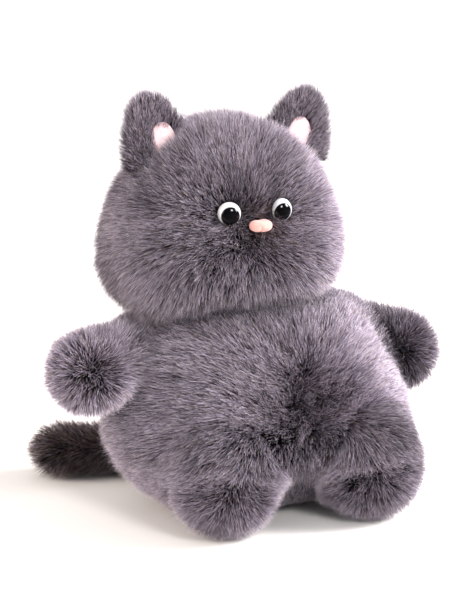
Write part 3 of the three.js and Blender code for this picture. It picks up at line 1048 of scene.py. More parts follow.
def new_material(name: str) -> tuple[bpy.types.Material, bpy.types.NodeTree]:
    """Makes an empty node material.

    Args:
        name: the material's name.

    Returns:
        The material and its tree.
    """
    material = bpy.data.materials.new(name)
    material.use_nodes = True
    material.node_tree.nodes.clear()
    return material, material.node_tree


@dataclass(frozen=True)
class LongPile:
    """Long-pile acrylic faux fur, a knitted plush brushed out and steamed: each fibre is matt and nearly
    black at its foot, where no light reaches, and pale and faintly shiny at its fine tip. Taupe fibres are
    mixed with some brown ones, and no two locks have quite the same tone."""

    name: str = "long_pile_acrylic_fur"
    foot: str = "#0d0a0d"
    low: str = "#29242b"
    middle: str = "#827889"
    tip: str = "#ebe2ef"
    brown_foot: str = "#0e0a08"
    brown_middle: str = "#7d6c69"
    brown_tip: str = "#dccbc4"

    def material(self) -> bpy.types.Material:
        """Makes the material: the map's height runs up a fibre, and its width holds the tone and the kind.

        Returns:
            The material.
        """
        material, tree = new_material(self.name)
        uv = add_node(tree, "ShaderNodeUVMap", {"uv_map": UV_NAME})
        parts = add_node(tree, "ShaderNodeSeparateXYZ", links={0: uv.outputs[0]})
        across, rise = parts.outputs[0], parts.outputs[1]
        taupes = [(0, self.foot), (0.4, self.low), (0.75, self.middle), (1, self.tip)]
        browns = [(0, self.brown_foot), (0.35, self.brown_foot)]
        browns += [(0.75, self.brown_middle), (1, self.brown_tip)]
        taupe, brown = (
            add_node(tree, "ShaderNodeValToRGB", {"stops": stops}, {"Fac": rise})
            for stops in (taupes, browns))
        is_brown = add_node(tree, "ShaderNodeMath", {"operation": "GREATER_THAN", "=1": 0.5}, {0: across})
        doubled = add_node(tree, "ShaderNodeMath", {"operation": "MULTIPLY", "=1": 2.0}, {0: across})
        tone = add_node(tree, "ShaderNodeMath", {"operation": "FRACT"}, {0: doubled.outputs[0]})
        # The tone sets each fibre's brightness, from 0.5 to 1.55: the pile's own uneven tone and the painted
        # light and shade of each piece.
        light = add_node(
            tree, "ShaderNodeMapRange", {"=3": 0.5, "=4": 1.55}, {0: tone.outputs[0]})
        mixed = add_node(
            tree, "ShaderNodeMix", {"data_type": "RGBA"},
            {0: is_brown.outputs[0], 6: taupe.outputs[0], 7: brown.outputs[0]})
        shaded = add_node(
            tree, "ShaderNodeVectorMath", {"operation": "SCALE"}, {0: mixed.outputs[2], 3: light.outputs[0]})
        shader = add_node(
            tree, "ShaderNodeBsdfPrincipled",
            {"=Roughness": 0.62, "=Specular IOR Level": 0.3, "=IOR": 1.5},
            {"Base Color": shaded.outputs[0]})
        add_node(tree, "ShaderNodeOutputMaterial", links={"Surface": shader.outputs[0]})
        return material


@dataclass(frozen=True)
class GlossyPlastic:
    """Moulded plastic: polished acrylic for the eyes, hard and wet-looking with sharp reflections, and duller
    nylon for their washers. Its tone drifts a little where the melt flowed."""

    name: str
    colour: str
    shade: str
    roughness: float = 0.06
    specular: float = 0.5
    patches_per_metre: float = 180.0

    def material(self) -> bpy.types.Material:
        """Makes the material: two close colours in soft patches under a clear gloss.

        Returns:
            The material.
        """
        material, tree = new_material(self.name)
        place = add_node(tree, "ShaderNodeTexCoord")
        patches = add_node(
            tree, "ShaderNodeTexNoise", {"=Scale": self.patches_per_metre, "=Detail": 2.0},
            {"Vector": place.outputs["Object"]})
        colour = add_node(
            tree, "ShaderNodeValToRGB", {"stops": [(0.3, self.colour), (0.75, self.shade)]},
            {"Fac": patches.outputs[0]})
        shader = add_node(
            tree, "ShaderNodeBsdfPrincipled",
            {"=Roughness": self.roughness, "=IOR": 1.49, "=Specular IOR Level": self.specular},
            {"Base Color": colour.outputs[0]})
        add_node(tree, "ShaderNodeOutputMaterial", links={"Surface": shader.outputs[0]})
        return material


@dataclass(frozen=True)
class ShortPlush:
    """Short-cut polyester velboa, 1 to 2 mm high: a matt, even pink nap with a pale bloom where it is seen
    from the side, and a slight mottle where the nap lies this way and that."""

    name: str
    colour: str
    shade: str
    fine: float = 0.7

    def material(self) -> bpy.types.Material:
        """Makes the material: a fine mottle of two pinks, with a nap of bumps fine mm across.

        Returns:
            The material.
        """
        material, tree = new_material(self.name)
        place = add_node(tree, "ShaderNodeTexCoord")
        mottle = add_node(
            tree, "ShaderNodeTexNoise", {"=Scale": 1 / (4 * MM), "=Detail": 4.0},
            {"Vector": place.outputs["Object"]})
        colour = add_node(
            tree, "ShaderNodeValToRGB", {"stops": [(0.3, self.shade), (0.7, self.colour)]},
            {"Fac": mottle.outputs[0]})
        nap = add_node(
            tree, "ShaderNodeTexNoise", {"=Scale": 1 / (self.fine * MM), "=Detail": 3.0},
            {"Vector": place.outputs["Object"]})
        bump = add_node(
            tree, "ShaderNodeBump", {"=Strength": 0.5, "=Distance": 0.3 * MM}, {"Height": nap.outputs[0]})
        shader = add_node(
            tree, "ShaderNodeBsdfPrincipled",
            {"=Roughness": 0.85, "=Specular IOR Level": 0.25, "=Sheen Weight": 0.4, "=Sheen Roughness": 0.4},
            {"Base Color": colour.outputs[0], "Normal": bump.outputs[0]})
        add_node(tree, "ShaderNodeOutputMaterial", links={"Surface": shader.outputs[0]})
        return material


@dataclass(frozen=True)
class SpunThread:
    """Spun polyester thread, woven ribbon of it, or loose fibre: matt, with a fine slanting twist. The twist
    is drawn coarser than life, because the real one is too fine to show."""

    name: str
    colour: str
    shade: str
    pitch: float = 0.8
    waves_per_unit: float = 0.3

    def material(self) -> bpy.types.Material:
        """Makes the material: fine waves of two close colours, pitch mm apart, and the same as bumps.

        Returns:
            The material.
        """
        material, tree = new_material(self.name)
        place = add_node(tree, "ShaderNodeTexCoord")
        waves = add_node(
            tree, "ShaderNodeTexWave",
            {"wave_type": "BANDS", "bands_direction": "DIAGONAL",
             "=Scale": self.waves_per_unit / (self.pitch * MM), "=Distortion": 3.0, "=Detail": 2.0},
            {"Vector": place.outputs["Object"]})
        colour = add_node(
            tree, "ShaderNodeValToRGB", {"stops": [(0.2, self.shade), (0.8, self.colour)]},
            {"Fac": waves.outputs[0]})
        bump = add_node(
            tree, "ShaderNodeBump", {"=Strength": 0.4, "=Distance": 0.2 * MM}, {"Height": waves.outputs[0]})
        shader = add_node(
            tree, "ShaderNodeBsdfPrincipled", {"=Roughness": 0.8, "=Specular IOR Level": 0.3},
            {"Base Color": colour.outputs[0], "Normal": bump.outputs[0]})
        add_node(tree, "ShaderNodeOutputMaterial", links={"Surface": shader.outputs[0]})
        return material


# ---------------------------------------------------------------- sub-assemblies


class Side(Enum):
    """The cat's own left and right."""

    LEFT = 1
    RIGHT = -1

    @property
    def word(self) -> str:
        """The side's word in piece names."""
        return self.name.lower()


HEAD = HeadForm()
TRUNK = TrunkForm()

# Cloth that lies deeper than this inside a neighbour is left bare of pile.
DRESSED_DEPTH = -14.0

# How far to the cat's left of the head's middle its face is set.
FACE_ASIDE = 2.0

# How far each eye is from the face's middle and above the head's, and how far behind the face's outline.
EYE_SIDE = 19.5
EYE_LIFT = 7.0
EYE_SINK = {Side.LEFT.value: 8.0, Side.RIGHT.value: 6.5}

# The middle of the belly's whorl.
BELLY_WHORL = (24.0, -74.0, 78.0)

# The tail's middle line.
TAIL_LINE = ((-16, 66, 22), (-46, 88, 19), (-84, 99, 18), (-120, 102, 21))

# The lowest that cloth and pile are let down to, just off the floor.
FLOOR_GAP = 0.4


def arm_form(side: int) -> LineForm:
    """An arm's roll, from its shoulder to its hand: the two arms are held a little differently.

    Args:
        side: 1 for the cat's left and -1 for its right.

    Returns:
        The roll.
    """
    root = SPINE.at(np.array(115.0)) + np.array([side * 76.0, 0, 0])
    reach = np.array([40.0, -10, -16] if side > 0 else [-49.0, -28, -6])
    return LineForm((tuple(root), tuple(root + reach)), 24.0, 30.5)


def leg_form(side: int) -> LineForm:
    """A leg's roll, from its hip to its foot."""
    root = np.array([side * 50.0, -22, 40])
    return LineForm((tuple(root), tuple(root + np.array([side * 4.0, -42, -4]))), 37.0, 38.0)


def tail_form() -> LineForm:
    """The tail's roll, from inside the trunk round to the cat's right."""
    return LineForm(TAIL_LINE, 21.0, 20.0)


@dataclass
class FurryPiece:
    """One sewn and stuffed form with its pile, as one padded piece."""

    name: str
    form: Form
    pile: Pile
    nodes: tuple[str, ...]
    seed: int
    fill: float = 0.8
    floor: float | None = None
    whorl: tuple[float, float, float] | None = None
    whorl_reach: float = 32.0
    neighbours: tuple[Form, ...] = ()
    fillets: list[Fillet] = field(default_factory=list)
    cloth_depth: float = -10.0
    clearings: list[Clearing] = field(default_factory=list)
    cloth_tone: tuple[float, float] = (0.1, 0.2)
    rings: int = 60
    columns: int = 90
    lift_limit: float = 16.0

    def lengths(self, roots: Array) -> Array:
        """Each fibre's length as a part of the pile's: the same all over."""
        return np.ones(len(roots))

    def brush(self, roots: Array, facings: Array) -> Array:
        """Away from the whorl, from nothing at its middle to the full lean some way out.

        Args:
            roots: places on the cloth.
            facings: outward directions there.

        Returns:
            The way and strength of the brushing; half strength and down where there is no whorl.
        """
        if self.whorl is None:
            return 0.5 * brushed_down(facings)
        whorl = np.array(self.whorl)
        far = np.linalg.norm(roots - whorl, axis=-1)
        return brushed_from(roots, facings, whorl) * smooth(4.0, self.whorl_reach, far)[:, None]

    def browns(self, roots: Array) -> Array:
        """The chance of a brown fibre at each root: the same all over."""
        return np.full(len(roots), self.pile.brown)

    def tones(self, roots: Array) -> Array:
        """How much lighter than usual the fibres are at each root, where a piece paints light or shade: no
        lighter.
        """
        return np.zeros(len(roots))

    def build(self, material: bpy.types.Material) -> bpy.types.Object:
        """Makes the cloth and its pile.

        Args:
            material: the fur's finish.

        Returns:
            The piece.
        """
        rng = np.random.default_rng(self.seed)
        work = Patchwork()
        self.form.cloth(work, self.cloth_depth, self.rings, self.columns, self.floor, self.cloth_tone)
        roots, facings = scattered(self.form, self.cloth_depth, self.pile.per_mm2, rng)
        hidden = np.zeros(len(roots), bool)
        for other in self.neighbours:
            hidden |= other.holds(roots, DRESSED_DEPTH)
        roots, facings = roots[~hidden], facings[~hidden]
        if self.fillets:
            roots, facings = raised(roots, facings, self.fillets, self.lift_limit)
        grown(work, roots, facings, self.brush(roots, facings), self.pile, self.lengths(roots),
              self.browns(roots), self.tones(roots), self.clearings, self.floor, rng)
        piece = work.made(self.name, material)
        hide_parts(*self.nodes)
        return piece


def eye_foot(side: int) -> Array:
    """The middle of an eye's foot, under the tips of the pile."""
    return HEAD.face_at(FACE_ASIDE + side * EYE_SIDE, EYE_LIFT) + np.array([0.0, EYE_SINK[side], 0.0])


def nose_place() -> Array:
    """The middle of the nose, just under the face's outline."""
    return HEAD.face_at(FACE_ASIDE, -1.0) + np.array([0.0, 1.0, 0.0])


def eye_facing(side: int) -> Array:
    """The way an eye looks."""
    return unit(np.array([side * 0.27, -1.0, 0.02]))


@dataclass
class TrunkFur(FurryPiece):
    """The trunk's fur: brushed out from the middle of the belly, and down at the back."""

    # How far the painted shade reaches under the head and by the arms, how far the pile is flattened under
    # the head, and where the belly's painted shade and the hollow between the feet lie.
    painted_shade_under_head: float = 17.0
    flat_under_head: float = 13.0
    painted_shade_by_arms: float = 12.0
    belly: tuple[float, float, float] = (22.0, 62.0, 34.0)
    hollow: tuple[float, float] = (10.0, 28.0)

    def brush(self, roots: Array, facings: Array) -> Array:
        """Out from the belly's whorl in front, and down behind."""
        behind = smooth(-20.0, 50.0, roots[:, 1])[:, None]
        return super().brush(roots, facings) * (1 - behind) + 0.8 * brushed_down(facings) * behind

    def tones(self, roots: Array) -> Array:
        """Painted shade under the head, by the arms, between the feet and on the belly; painted light on the
        left flank, and a little lighter high on the chest.

        Args:
            roots: places on the cloth.

        Returns:
            One number for each root.
        """
        side, height, reach = self.belly
        crease = bell(HEAD.distance(roots), self.painted_shade_under_head)
        belly = bell(roots[:, 0] - side, reach) * bell(roots[:, 2] - height, reach)
        belly = belly * smooth(0.0, -40.0, roots[:, 1])
        flank = smooth(0.0, 72.0, roots[:, 0]) * smooth(15.0, 60.0, roots[:, 2])
        chest = smooth(85.0, 120.0, roots[:, 2]) * smooth(20.0, -30.0, roots[:, 1])
        arms = sum(bell(arm_form(side.value).distance(roots), self.painted_shade_by_arms) for side in Side)
        # Painted light on the left flank, where the side light falls, and a little lighter high on the chest;
        # painted shade in the neck crease, by the arms, between the feet and on the belly.
        lighter = 0.7 * flank + 0.1 * chest
        return lighter - 0.9 * crease - 0.4 * arms - 0.9 * self.between(roots) - 0.3 * belly

    def between(self, roots: Array) -> Array:
        """How far each place lies in the hollow between the feet, which gets painted shade and flattened
        pile: 1 in its middle.
        """
        across = bell(roots[:, 0] - self.hollow[0], self.hollow[1])
        return across * smooth(62.0, 20.0, roots[:, 2]) * smooth(10.0, -30.0, roots[:, 1])

    def lengths(self, roots: Array) -> Array:
        """Flattened under the chin and between the feet."""
        return 1 - 0.7 * bell(HEAD.distance(roots), self.flat_under_head) - 0.6 * self.between(roots)


@dataclass
class HeadFur(FurryPiece):
    """The head's fur: brushed out from the nose, and kept short about the eyes and the nose."""

    shortest: float = 0.45
    short_reach: float = 34.0
    # Where the painted shade lies: over the trunk, about the eye sockets, whose reach also turns the pile,
    # low on the muzzle and on the brow.
    painted_shade_over_trunk: float = 12.0
    socket_reach: float = 13.0
    muzzle: tuple[float, float, float] = (-26.0, 46.0, 20.0)
    brow: tuple[float, float, float] = (22.0, 34.0, 15.0)

    def lengths(self, roots: Array) -> Array:
        """Short about the face, long on the cheeks and the crown, and longer just below each eye.

        Args:
            roots: places on the cloth.

        Returns:
            Each fibre's length as a part of the pile's.
        """
        nose = nose_place()
        away = np.linalg.norm(roots - nose, axis=-1)
        below = np.zeros(len(roots))
        for side in Side:
            off = roots - eye_foot(side.value)
            away = np.minimum(away, np.linalg.norm(off, axis=-1))
            below += bell(off[:, 0], 11.0) * bell(off[:, 2] + 12.0, 5.0)
        bridge = bell(roots[:, 0] - nose[0], 7.0) * bell(roots[:, 2] - nose[2] - 10.0, 10.0)
        low = roots - self.form.centre
        jowl = smooth(-20.0, -60.0, low[:, 0]) * smooth(-18.0, -46.0, low[:, 2])
        usual = self.shortest + (1 - self.shortest) * smooth(8.0, self.short_reach, away)
        return usual + 0.45 * below + 0.3 * bridge + 0.35 * jowl

    def brush(self, roots: Array, facings: Array) -> Array:
        """Out from the nose over the face, out from each eye close by, and down behind.

        Args:
            roots: places on the cloth.
            facings: outward directions there.

        Returns:
            The way and strength of the brushing.
        """
        nose = nose_place()
        far = np.linalg.norm(roots - nose, axis=-1)
        ways = brushed_from(roots, facings, nose) * (0.25 + 0.75 * smooth(6.0, 50.0, far))[:, None]
        low = roots - self.form.centre
        ways[:, 2] += 0.25 * smooth(0.0, 30.0, low[:, 2])
        ways[:, 2] -= 0.9 * smooth(-20.0, -60.0, low[:, 0]) * smooth(-10.0, -40.0, low[:, 2])
        for side in Side:
            foot = eye_foot(side.value)
            near = bell(np.linalg.norm(roots - foot, axis=-1), self.socket_reach)
            ways = ways + 0.8 * near[:, None] * brushed_from(roots, facings, foot)
        behind = smooth(-5.0, 45.0, low[:, 1])[:, None]
        return ways * (1 - behind) + 0.8 * brushed_down(facings) * behind

    def tones(self, roots: Array) -> Array:
        """Painted shade where the head hangs over the trunk, low on the muzzle, on the brow and about the
        eyes; painted light on the left side and painted shade on the right.

        Args:
            roots: places on the cloth.

        Returns:
            One number for each root.
        """
        off = roots - nose_place()
        front = smooth(0.0, -30.0, roots[:, 1])
        muzzle, brow = (
            bell(off[:, 0], width) * bell(off[:, 2] - lift, height) * front
            for lift, width, height in (self.muzzle, self.brow))
        crease = bell(TRUNK.distance(roots), self.painted_shade_over_trunk)
        flank = smooth(-5.0, 52.0, roots[:, 0]) - 0.35 * smooth(-30.0, -60.0, roots[:, 0])
        sockets = np.zeros(len(roots))
        for side in Side:
            near = roots - eye_foot(side.value) - np.array([-side.value * 4.0, 0.0, 4.0])
            sockets += bell(np.linalg.norm(near, axis=-1), self.socket_reach)
        # Painted light on the lit left side; painted shade on the right side, over the trunk, low on the
        # muzzle, on the brow and in the eye sockets.
        return 0.62 * flank - 0.85 * crease - 0.2 * muzzle - 0.14 * brow - 0.3 * sockets

    def browns(self, roots: Array) -> Array:
        """Browner on the bridge between the eyes."""
        bridge = bell(np.linalg.norm(roots - nose_place(), axis=-1), 14.0)
        return self.pile.brown + 0.6 * bridge


@dataclass
class ArmFur(FurryPiece):
    """An arm's fur: dark on the side that the trunk shades."""

    shade_reach: dict[Side, float] = field(default_factory=lambda: {Side.LEFT: 16.0, Side.RIGHT: 9.0})

    def tones(self, roots: Array) -> Array:
        """Dark close to the trunk, and a little lighter than usual elsewhere.

        Args:
            roots: places on the cloth.

        Returns:
            One number for each root.
        """
        right = roots[:, 0] < 0
        reach = np.where(right, self.shade_reach[Side.RIGHT], self.shade_reach[Side.LEFT])
        shaded = bell(TRUNK.distance(roots), reach)
        return np.where(right, 0.3, 0.12) - np.where(right, 0.5, 0.8) * shaded


@dataclass
class LegFur(FurryPiece):
    """A leg's fur: combed with the trunk's at its top, and out from its own whorl at the foot."""

    def top(self, roots: Array) -> Array:
        """How far each place belongs to the leg's top, from 0 to 1."""
        return smooth(34.0, 62.0, roots[:, 2])

    def brush(self, roots: Array, facings: Array) -> Array:
        """Out from the foot's whorl, and down from the belly's at the top.

        Args:
            roots: places on the cloth.
            facings: outward directions there.

        Returns:
            The way and strength of the brushing.
        """
        share = self.top(roots)[:, None]
        combed = brushed_from(roots, facings, np.array(BELLY_WHORL)) + 0.7 * brushed_down(facings)
        return super().brush(roots, facings) * (1 - share) + 1.3 * combed * share

    def tones(self, roots: Array) -> Array:
        """Painted shade, a little, at the top, as on the belly."""
        return -0.16 * self.top(roots)


@dataclass
class TailFur(FurryPiece):
    """The tail's fur: brushed along the tail, with painted shade where it lies on the floor and painted light
    on top.
    """

    def brush(self, roots: Array, facings: Array) -> Array:
        """Towards the tail's tip."""
        return brushed_from(roots, facings, np.array(self.form.line[0]))

    def tones(self, roots: Array) -> Array:
        """Painted shade at the floor and painted light on top."""
        return -0.42 + 0.8 * smooth(12.0, 36.0, roots[:, 2])


@dataclass
class Eye:
    """A moulded dome with a glossy pupil on it."""

    side: Side
    radius: float = 8.0
    dome: float = 6.0
    pupil: float = 6.4
    aside: float = -0.4
    lift: float = -1.2
    proud: float = 0.35
    back: float = 1.5
    rings: int = 24
    columns: int = 48

    def frame_of(self, facing: Array) -> tuple[Array, Array]:
        """Two directions square to the facing."""
        right = unit(np.cross(facing, np.array([0.0, 0.0, 1.0])))
        return right, np.cross(right, facing)

    def build(self, white: bpy.types.Material, black: bpy.types.Material) -> list[bpy.types.Object]:
        """Makes the dome and the pupil.

        Args:
            white: the dome's finish.
            black: the pupil's finish.

        Returns:
            Both pieces.
        """
        foot = eye_foot(self.side.value)
        facing = eye_facing(self.side.value)
        right, above = self.frame_of(facing)
        slope = np.linspace(0, np.pi, self.rings + 2)[1:-1]
        turn = 2 * np.pi * np.arange(self.columns) / self.columns
        up = np.cos(slope)
        height = np.where(up > 0, up * self.dome, up * self.back)[:, None]
        out = np.sin(slope)[:, None] * self.radius
        ring = np.cos(turn)[None, :, None] * right + np.sin(turn)[None, :, None] * above
        points = foot + facing * height[..., None] + ring * out[..., None]
        ends = np.stack([foot + facing * self.dome, foot - facing * self.back])
        word = self.side.word
        ball = closed_piece(f"eye_{word}_ball", points, ends, white, "eye_white", f"eye_{word}_dome")
        return [ball, self.build_pupil(foot, facing, black)]

    def build_pupil(self, foot: Array, facing: Array, black: bpy.types.Material) -> bpy.types.Object:
        """The pupil: a cap of the dome's own surface beside its top, raised a little and rounded at its rim.

        Args:
            foot: the middle of the dome's foot.
            facing: the way the dome looks.
            black: the pupil's finish.

        Returns:
            The piece.
        """
        right, above = self.frame_of(facing)
        upper, lower = np.linspace(0, 1, 12)[1:], np.linspace(1, 0, 9)[1:-1]
        share = np.concatenate([upper, lower])
        top = np.arange(len(share)) < len(upper)
        turn = 2 * np.pi * np.arange(self.columns) / self.columns
        x = self.aside + self.pupil * share[:, None] * np.cos(turn)
        y = self.lift + self.pupil * share[:, None] * np.sin(turn)
        edge = np.sqrt(np.clip(1 - share**8, 0, 1))[:, None]
        height = self.dome_height(x, y) + np.where(top[:, None], self.proud * edge, -self.proud)
        points = foot + right * x[..., None] + above * y[..., None] + facing * height[..., None]
        centre = foot + right * self.aside + above * self.lift
        middle = self.dome_height(np.array(self.aside), np.array(self.lift))
        ends = np.stack([centre + facing * (middle + self.proud), centre + facing * (middle - self.proud)])
        word = self.side.word
        return closed_piece(f"eye_{word}_iris", points, ends, black, "eye_black", f"eye_{word}_pupil")

    def dome_height(self, x: Array, y: Array) -> Array:
        """The dome's height beside its middle: a flattened ball, at least a little up."""
        return self.dome * np.sqrt(np.clip(1 - (x**2 + y**2) / self.radius**2, 0.01, 1))


def closed_piece(
    name: str, rings: Array, ends: Array, material: bpy.types.Material, slot: str, *nodes: str,
    rides: str = "head",
) -> bpy.types.Object:
    """Makes a closed piece from rings of points and two poles, and hides the CAD nodes that it replaces.

    Args:
        name: the piece's name.
        rings: places in millimetres, as rings of points between the poles.
        ends: the first pole and the last one.
        material: its finish.
        slot: not used.
        nodes: the CAD nodes that it replaces.
        rides: the body that it moves with.

    Returns:
        The piece.
    """
    rows, columns = rings.shape[:2]
    everything = np.concatenate([ends[:1], rings.reshape(-1, 3), ends[1:]])
    quads, tips = grid_faces(rows, columns)
    work = Patchwork()
    flat = np.zeros((len(everything), 2))
    work.add(everything, quads, flat, True)
    work.add_more(tips, flat, len(everything), True)
    piece = work.made(name, material)
    outward(piece)
    if nodes:
        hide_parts(*nodes)
    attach(piece, rides)
    return piece


def ball_rings(rows: int, columns: int) -> tuple[Array, Array]:
    """Unit directions in rings from the top of a ball to its bottom, and both poles.

    Args:
        rows: how many rings.
        columns: how many directions in a ring.

    Returns:
        The directions in the rings, and the two at the poles.
    """
    slope = np.linspace(0, np.pi, rows + 2)[1:-1][:, None]
    turn = 2 * np.pi * np.arange(columns)[None, :] / columns
    ways = np.stack(
        [np.sin(slope) * np.cos(turn), np.sin(slope) * np.sin(turn), np.cos(slope) + 0 * turn], axis=-1)
    return ways, np.array([[0.0, 0.0, 1.0], [0.0, 0.0, -1.0]])


@dataclass(frozen=True)
class Nose:
    """A small stuffed bean of pink velboa, dipped in the middle of its top and creased below."""

    half: tuple[float, float, float] = (8.0, 5.0, 4.3)
    square: float = 2.4
    crease_at: float = -1.2
    dip_half: float = 2.6
    crease_half: float = 0.8

    def shaped(self, ways: Array) -> Array:
        """A fat oval with a dip above and a stitched crease in the middle of its lower half.

        Args:
            ways: unit directions from the middle.

        Returns:
            Places on the nose.
        """
        full = ways / np.sum(np.abs(ways) ** self.square, axis=-1, keepdims=True) ** (1 / self.square)
        spots = full * np.array(self.half)
        dip = bell(spots[..., 0] - self.crease_at, self.dip_half) * smooth(0.0, 1.0, ways[..., 2])
        crease = bell(spots[..., 0] - self.crease_at, self.crease_half) * smooth(0.35, -0.5, ways[..., 2])
        spots[..., 2] *= 1 - 0.14 * dip
        spots[..., 1] += 0.9 * crease * smooth(0.0, -0.6, ways[..., 1])
        spots[..., 2] += 0.5 * crease
        return spots + nose_place()

    def build(self, pink: bpy.types.Material) -> bpy.types.Object:
        """Makes the nose in its finish."""
        ways, ends = ball_rings(40, 72)
        return closed_piece("nose_bean", self.shaped(ways), self.shaped(ends), pink, "nose_pink", "nose")


@dataclass(frozen=True)
class EarLining:
    """A thin pink patch in the front of an ear, a round-topped triangle puffed a little in its middle."""

    side: Side
    ear: EarForm
    inward: float
    half_width: float = 9.0
    height: float = 22.0
    tip_round: float = 7.0
    rise: float = 13.0
    depth: float = -6.6
    half_thick: float = 1.3

    def shaped(self, ways: Array) -> Array:
        """A flattened ball: out to the patch's outline at the rim, thin there and thick inside.

        Args:
            ways: unit directions from the middle, with the patch's thickness along Y.

        Returns:
            Places on the patch.
        """
        share = np.sqrt(np.maximum(1 - ways[..., 1] ** 2, 0))
        turn = np.arctan2(ways[..., 2], ways[..., 0])
        reach = self.reach(turn) * share
        x = reach * np.cos(turn) - self.side.value * self.inward
        z = reach * np.sin(turn) + self.rise + 0.36 * self.height
        y = self.depth + ways[..., 1] * self.half_thick
        return self.ear.place(np.stack([x, y, z], axis=-1))

    def reach(self, turn: Array) -> Array:
        """The way from the patch's middle to its rounded three-cornered outline.

        Args:
            turn: angles about the middle, from the patch's side.

        Returns:
            Millimetres at each angle.
        """
        up = (1 + np.sin(turn)) / 2
        wide = self.half_width * (1 - up) + (self.tip_round + 2.0) * up
        tall = np.where(np.sin(turn) > 0, 0.64 * self.height, 0.40 * self.height)
        return 1 / np.sqrt((np.cos(turn) / wide) ** 2 + (np.sin(turn) / tall) ** 2)

    def build(self, pink: bpy.types.Material) -> bpy.types.Object:
        """Makes the patch in its finish.

        Args:
            pink: the patch's finish.

        Returns:
            The piece.
        """
        ways, ends = ball_rings(24, 64)
        ways, ends = ways[..., [0, 2, 1]], ends[..., [0, 2, 1]]
        word = self.side.word
        return closed_piece(
            f"ear_{word}_patch", self.shaped(ways), self.shaped(ends), pink, "pink_plush",
            f"ear_{word}_lining")


@dataclass(frozen=True)
class NeckWad:
    """The wad of loose stuffing between the trunk and the head."""

    height: float = 150.0
    radius: float = 24.0

    def build(self, fibre: bpy.types.Material) -> bpy.types.Object:
        """Makes a lumpy ball on the spine.

        Args:
            fibre: its finish.

        Returns:
            The piece.
        """
        ways, ends = ball_rings(36, 54)
        middle = SPINE.at(np.array(self.height))
        rings = middle + ways * (self.radius - 1.0 + 0.8 * cloudy(ways * 10.0, 4.0, 61))[..., None]
        tips = middle + ends * (self.radius - 1.0)
        piece = closed_piece("neck_wad", rings, tips, fibre, "stuffing", "neck_stuffing", rides="neck")
        return piece


@dataclass(frozen=True)
class Label:
    """A blank satin ribbon, folded in half and sewn into the trunk's back by its two ends."""

    side: float = 34.0
    height: float = 40.0
    root: float = 66.2
    width: float = 17.6
    length: float = 23.2
    apart: float = 0.45
    thick: float = 0.24
    droop: float = 1.5

    @property
    def place(self) -> Array:
        """The middle of the ribbon's visible part."""
        return np.array([self.side, self.root + 0.7 * self.length, self.height])

    def path(self, offset: float) -> Array:
        """Places along the ribbon: out, round the fold, and back.

        Args:
            offset: millimetres outwards from the ribbon's middle surface.

        Returns:
            Y and Z, one row for each place.
        """
        reach = np.linspace(0, 1, 15)
        half = self.apart + offset
        out = np.stack([reach * self.length, 0 * reach + half], axis=-1)
        turn = np.linspace(np.pi / 2, -np.pi / 2, 9)[1:-1]
        fold = np.stack([self.length + half * np.cos(turn), half * np.sin(turn)], axis=-1)
        back = np.stack([reach[::-1] * self.length, 0 * reach - half], axis=-1)
        places = np.concatenate([out, fold, back])
        places[:, 1] -= self.droop * (places[:, 0] / self.length) ** 2
        return places + np.array([self.root, self.height])

    def build(self, satin: bpy.types.Material) -> bpy.types.Object:
        """Makes the ribbon as a closed thin strip.

        Args:
            satin: its finish.

        Returns:
            The piece.
        """
        outer, inner = self.path(self.thick / 2), self.path(-self.thick / 2)
        count = len(outer)
        edges = self.side + np.array([-0.5, 0.5]) * self.width
        rows = [np.column_stack([np.full(count, x), line]) for x in edges for line in (outer, inner)]
        step = np.arange(count - 1)
        strips = [(0, 2), (1, 3), (0, 1), (2, 3)]
        faces = [
            np.stack([a + step, a + step + 1, b + step + 1, b + step], axis=-1)
            for a, b in np.array(strips) * count
        ]
        ends = [[0, count, 3 * count, 2 * count], [count - 1, 2 * count - 1, 4 * count - 1, 3 * count - 1]]
        work = Patchwork()
        points = np.concatenate(rows)
        work.add(points, np.concatenate([*faces, np.array(ends)]), np.zeros((len(points), 2)), False)
        piece = work.made("label_ribbon", satin)
        outward(piece)
        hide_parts("label")
        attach(piece, "trunk")
        return piece


def outward(piece: bpy.types.Object) -> None:
    """Turns every face of a closed piece to point outwards.

    Args:
        piece: the piece.
    """
    work = bmesh.new()
    work.from_mesh(piece.data)
    bmesh.ops.recalc_face_normals(work, faces=work.faces)
    work.to_mesh(piece.data)
    work.free()


# ---------------------------------------------------------------- studio


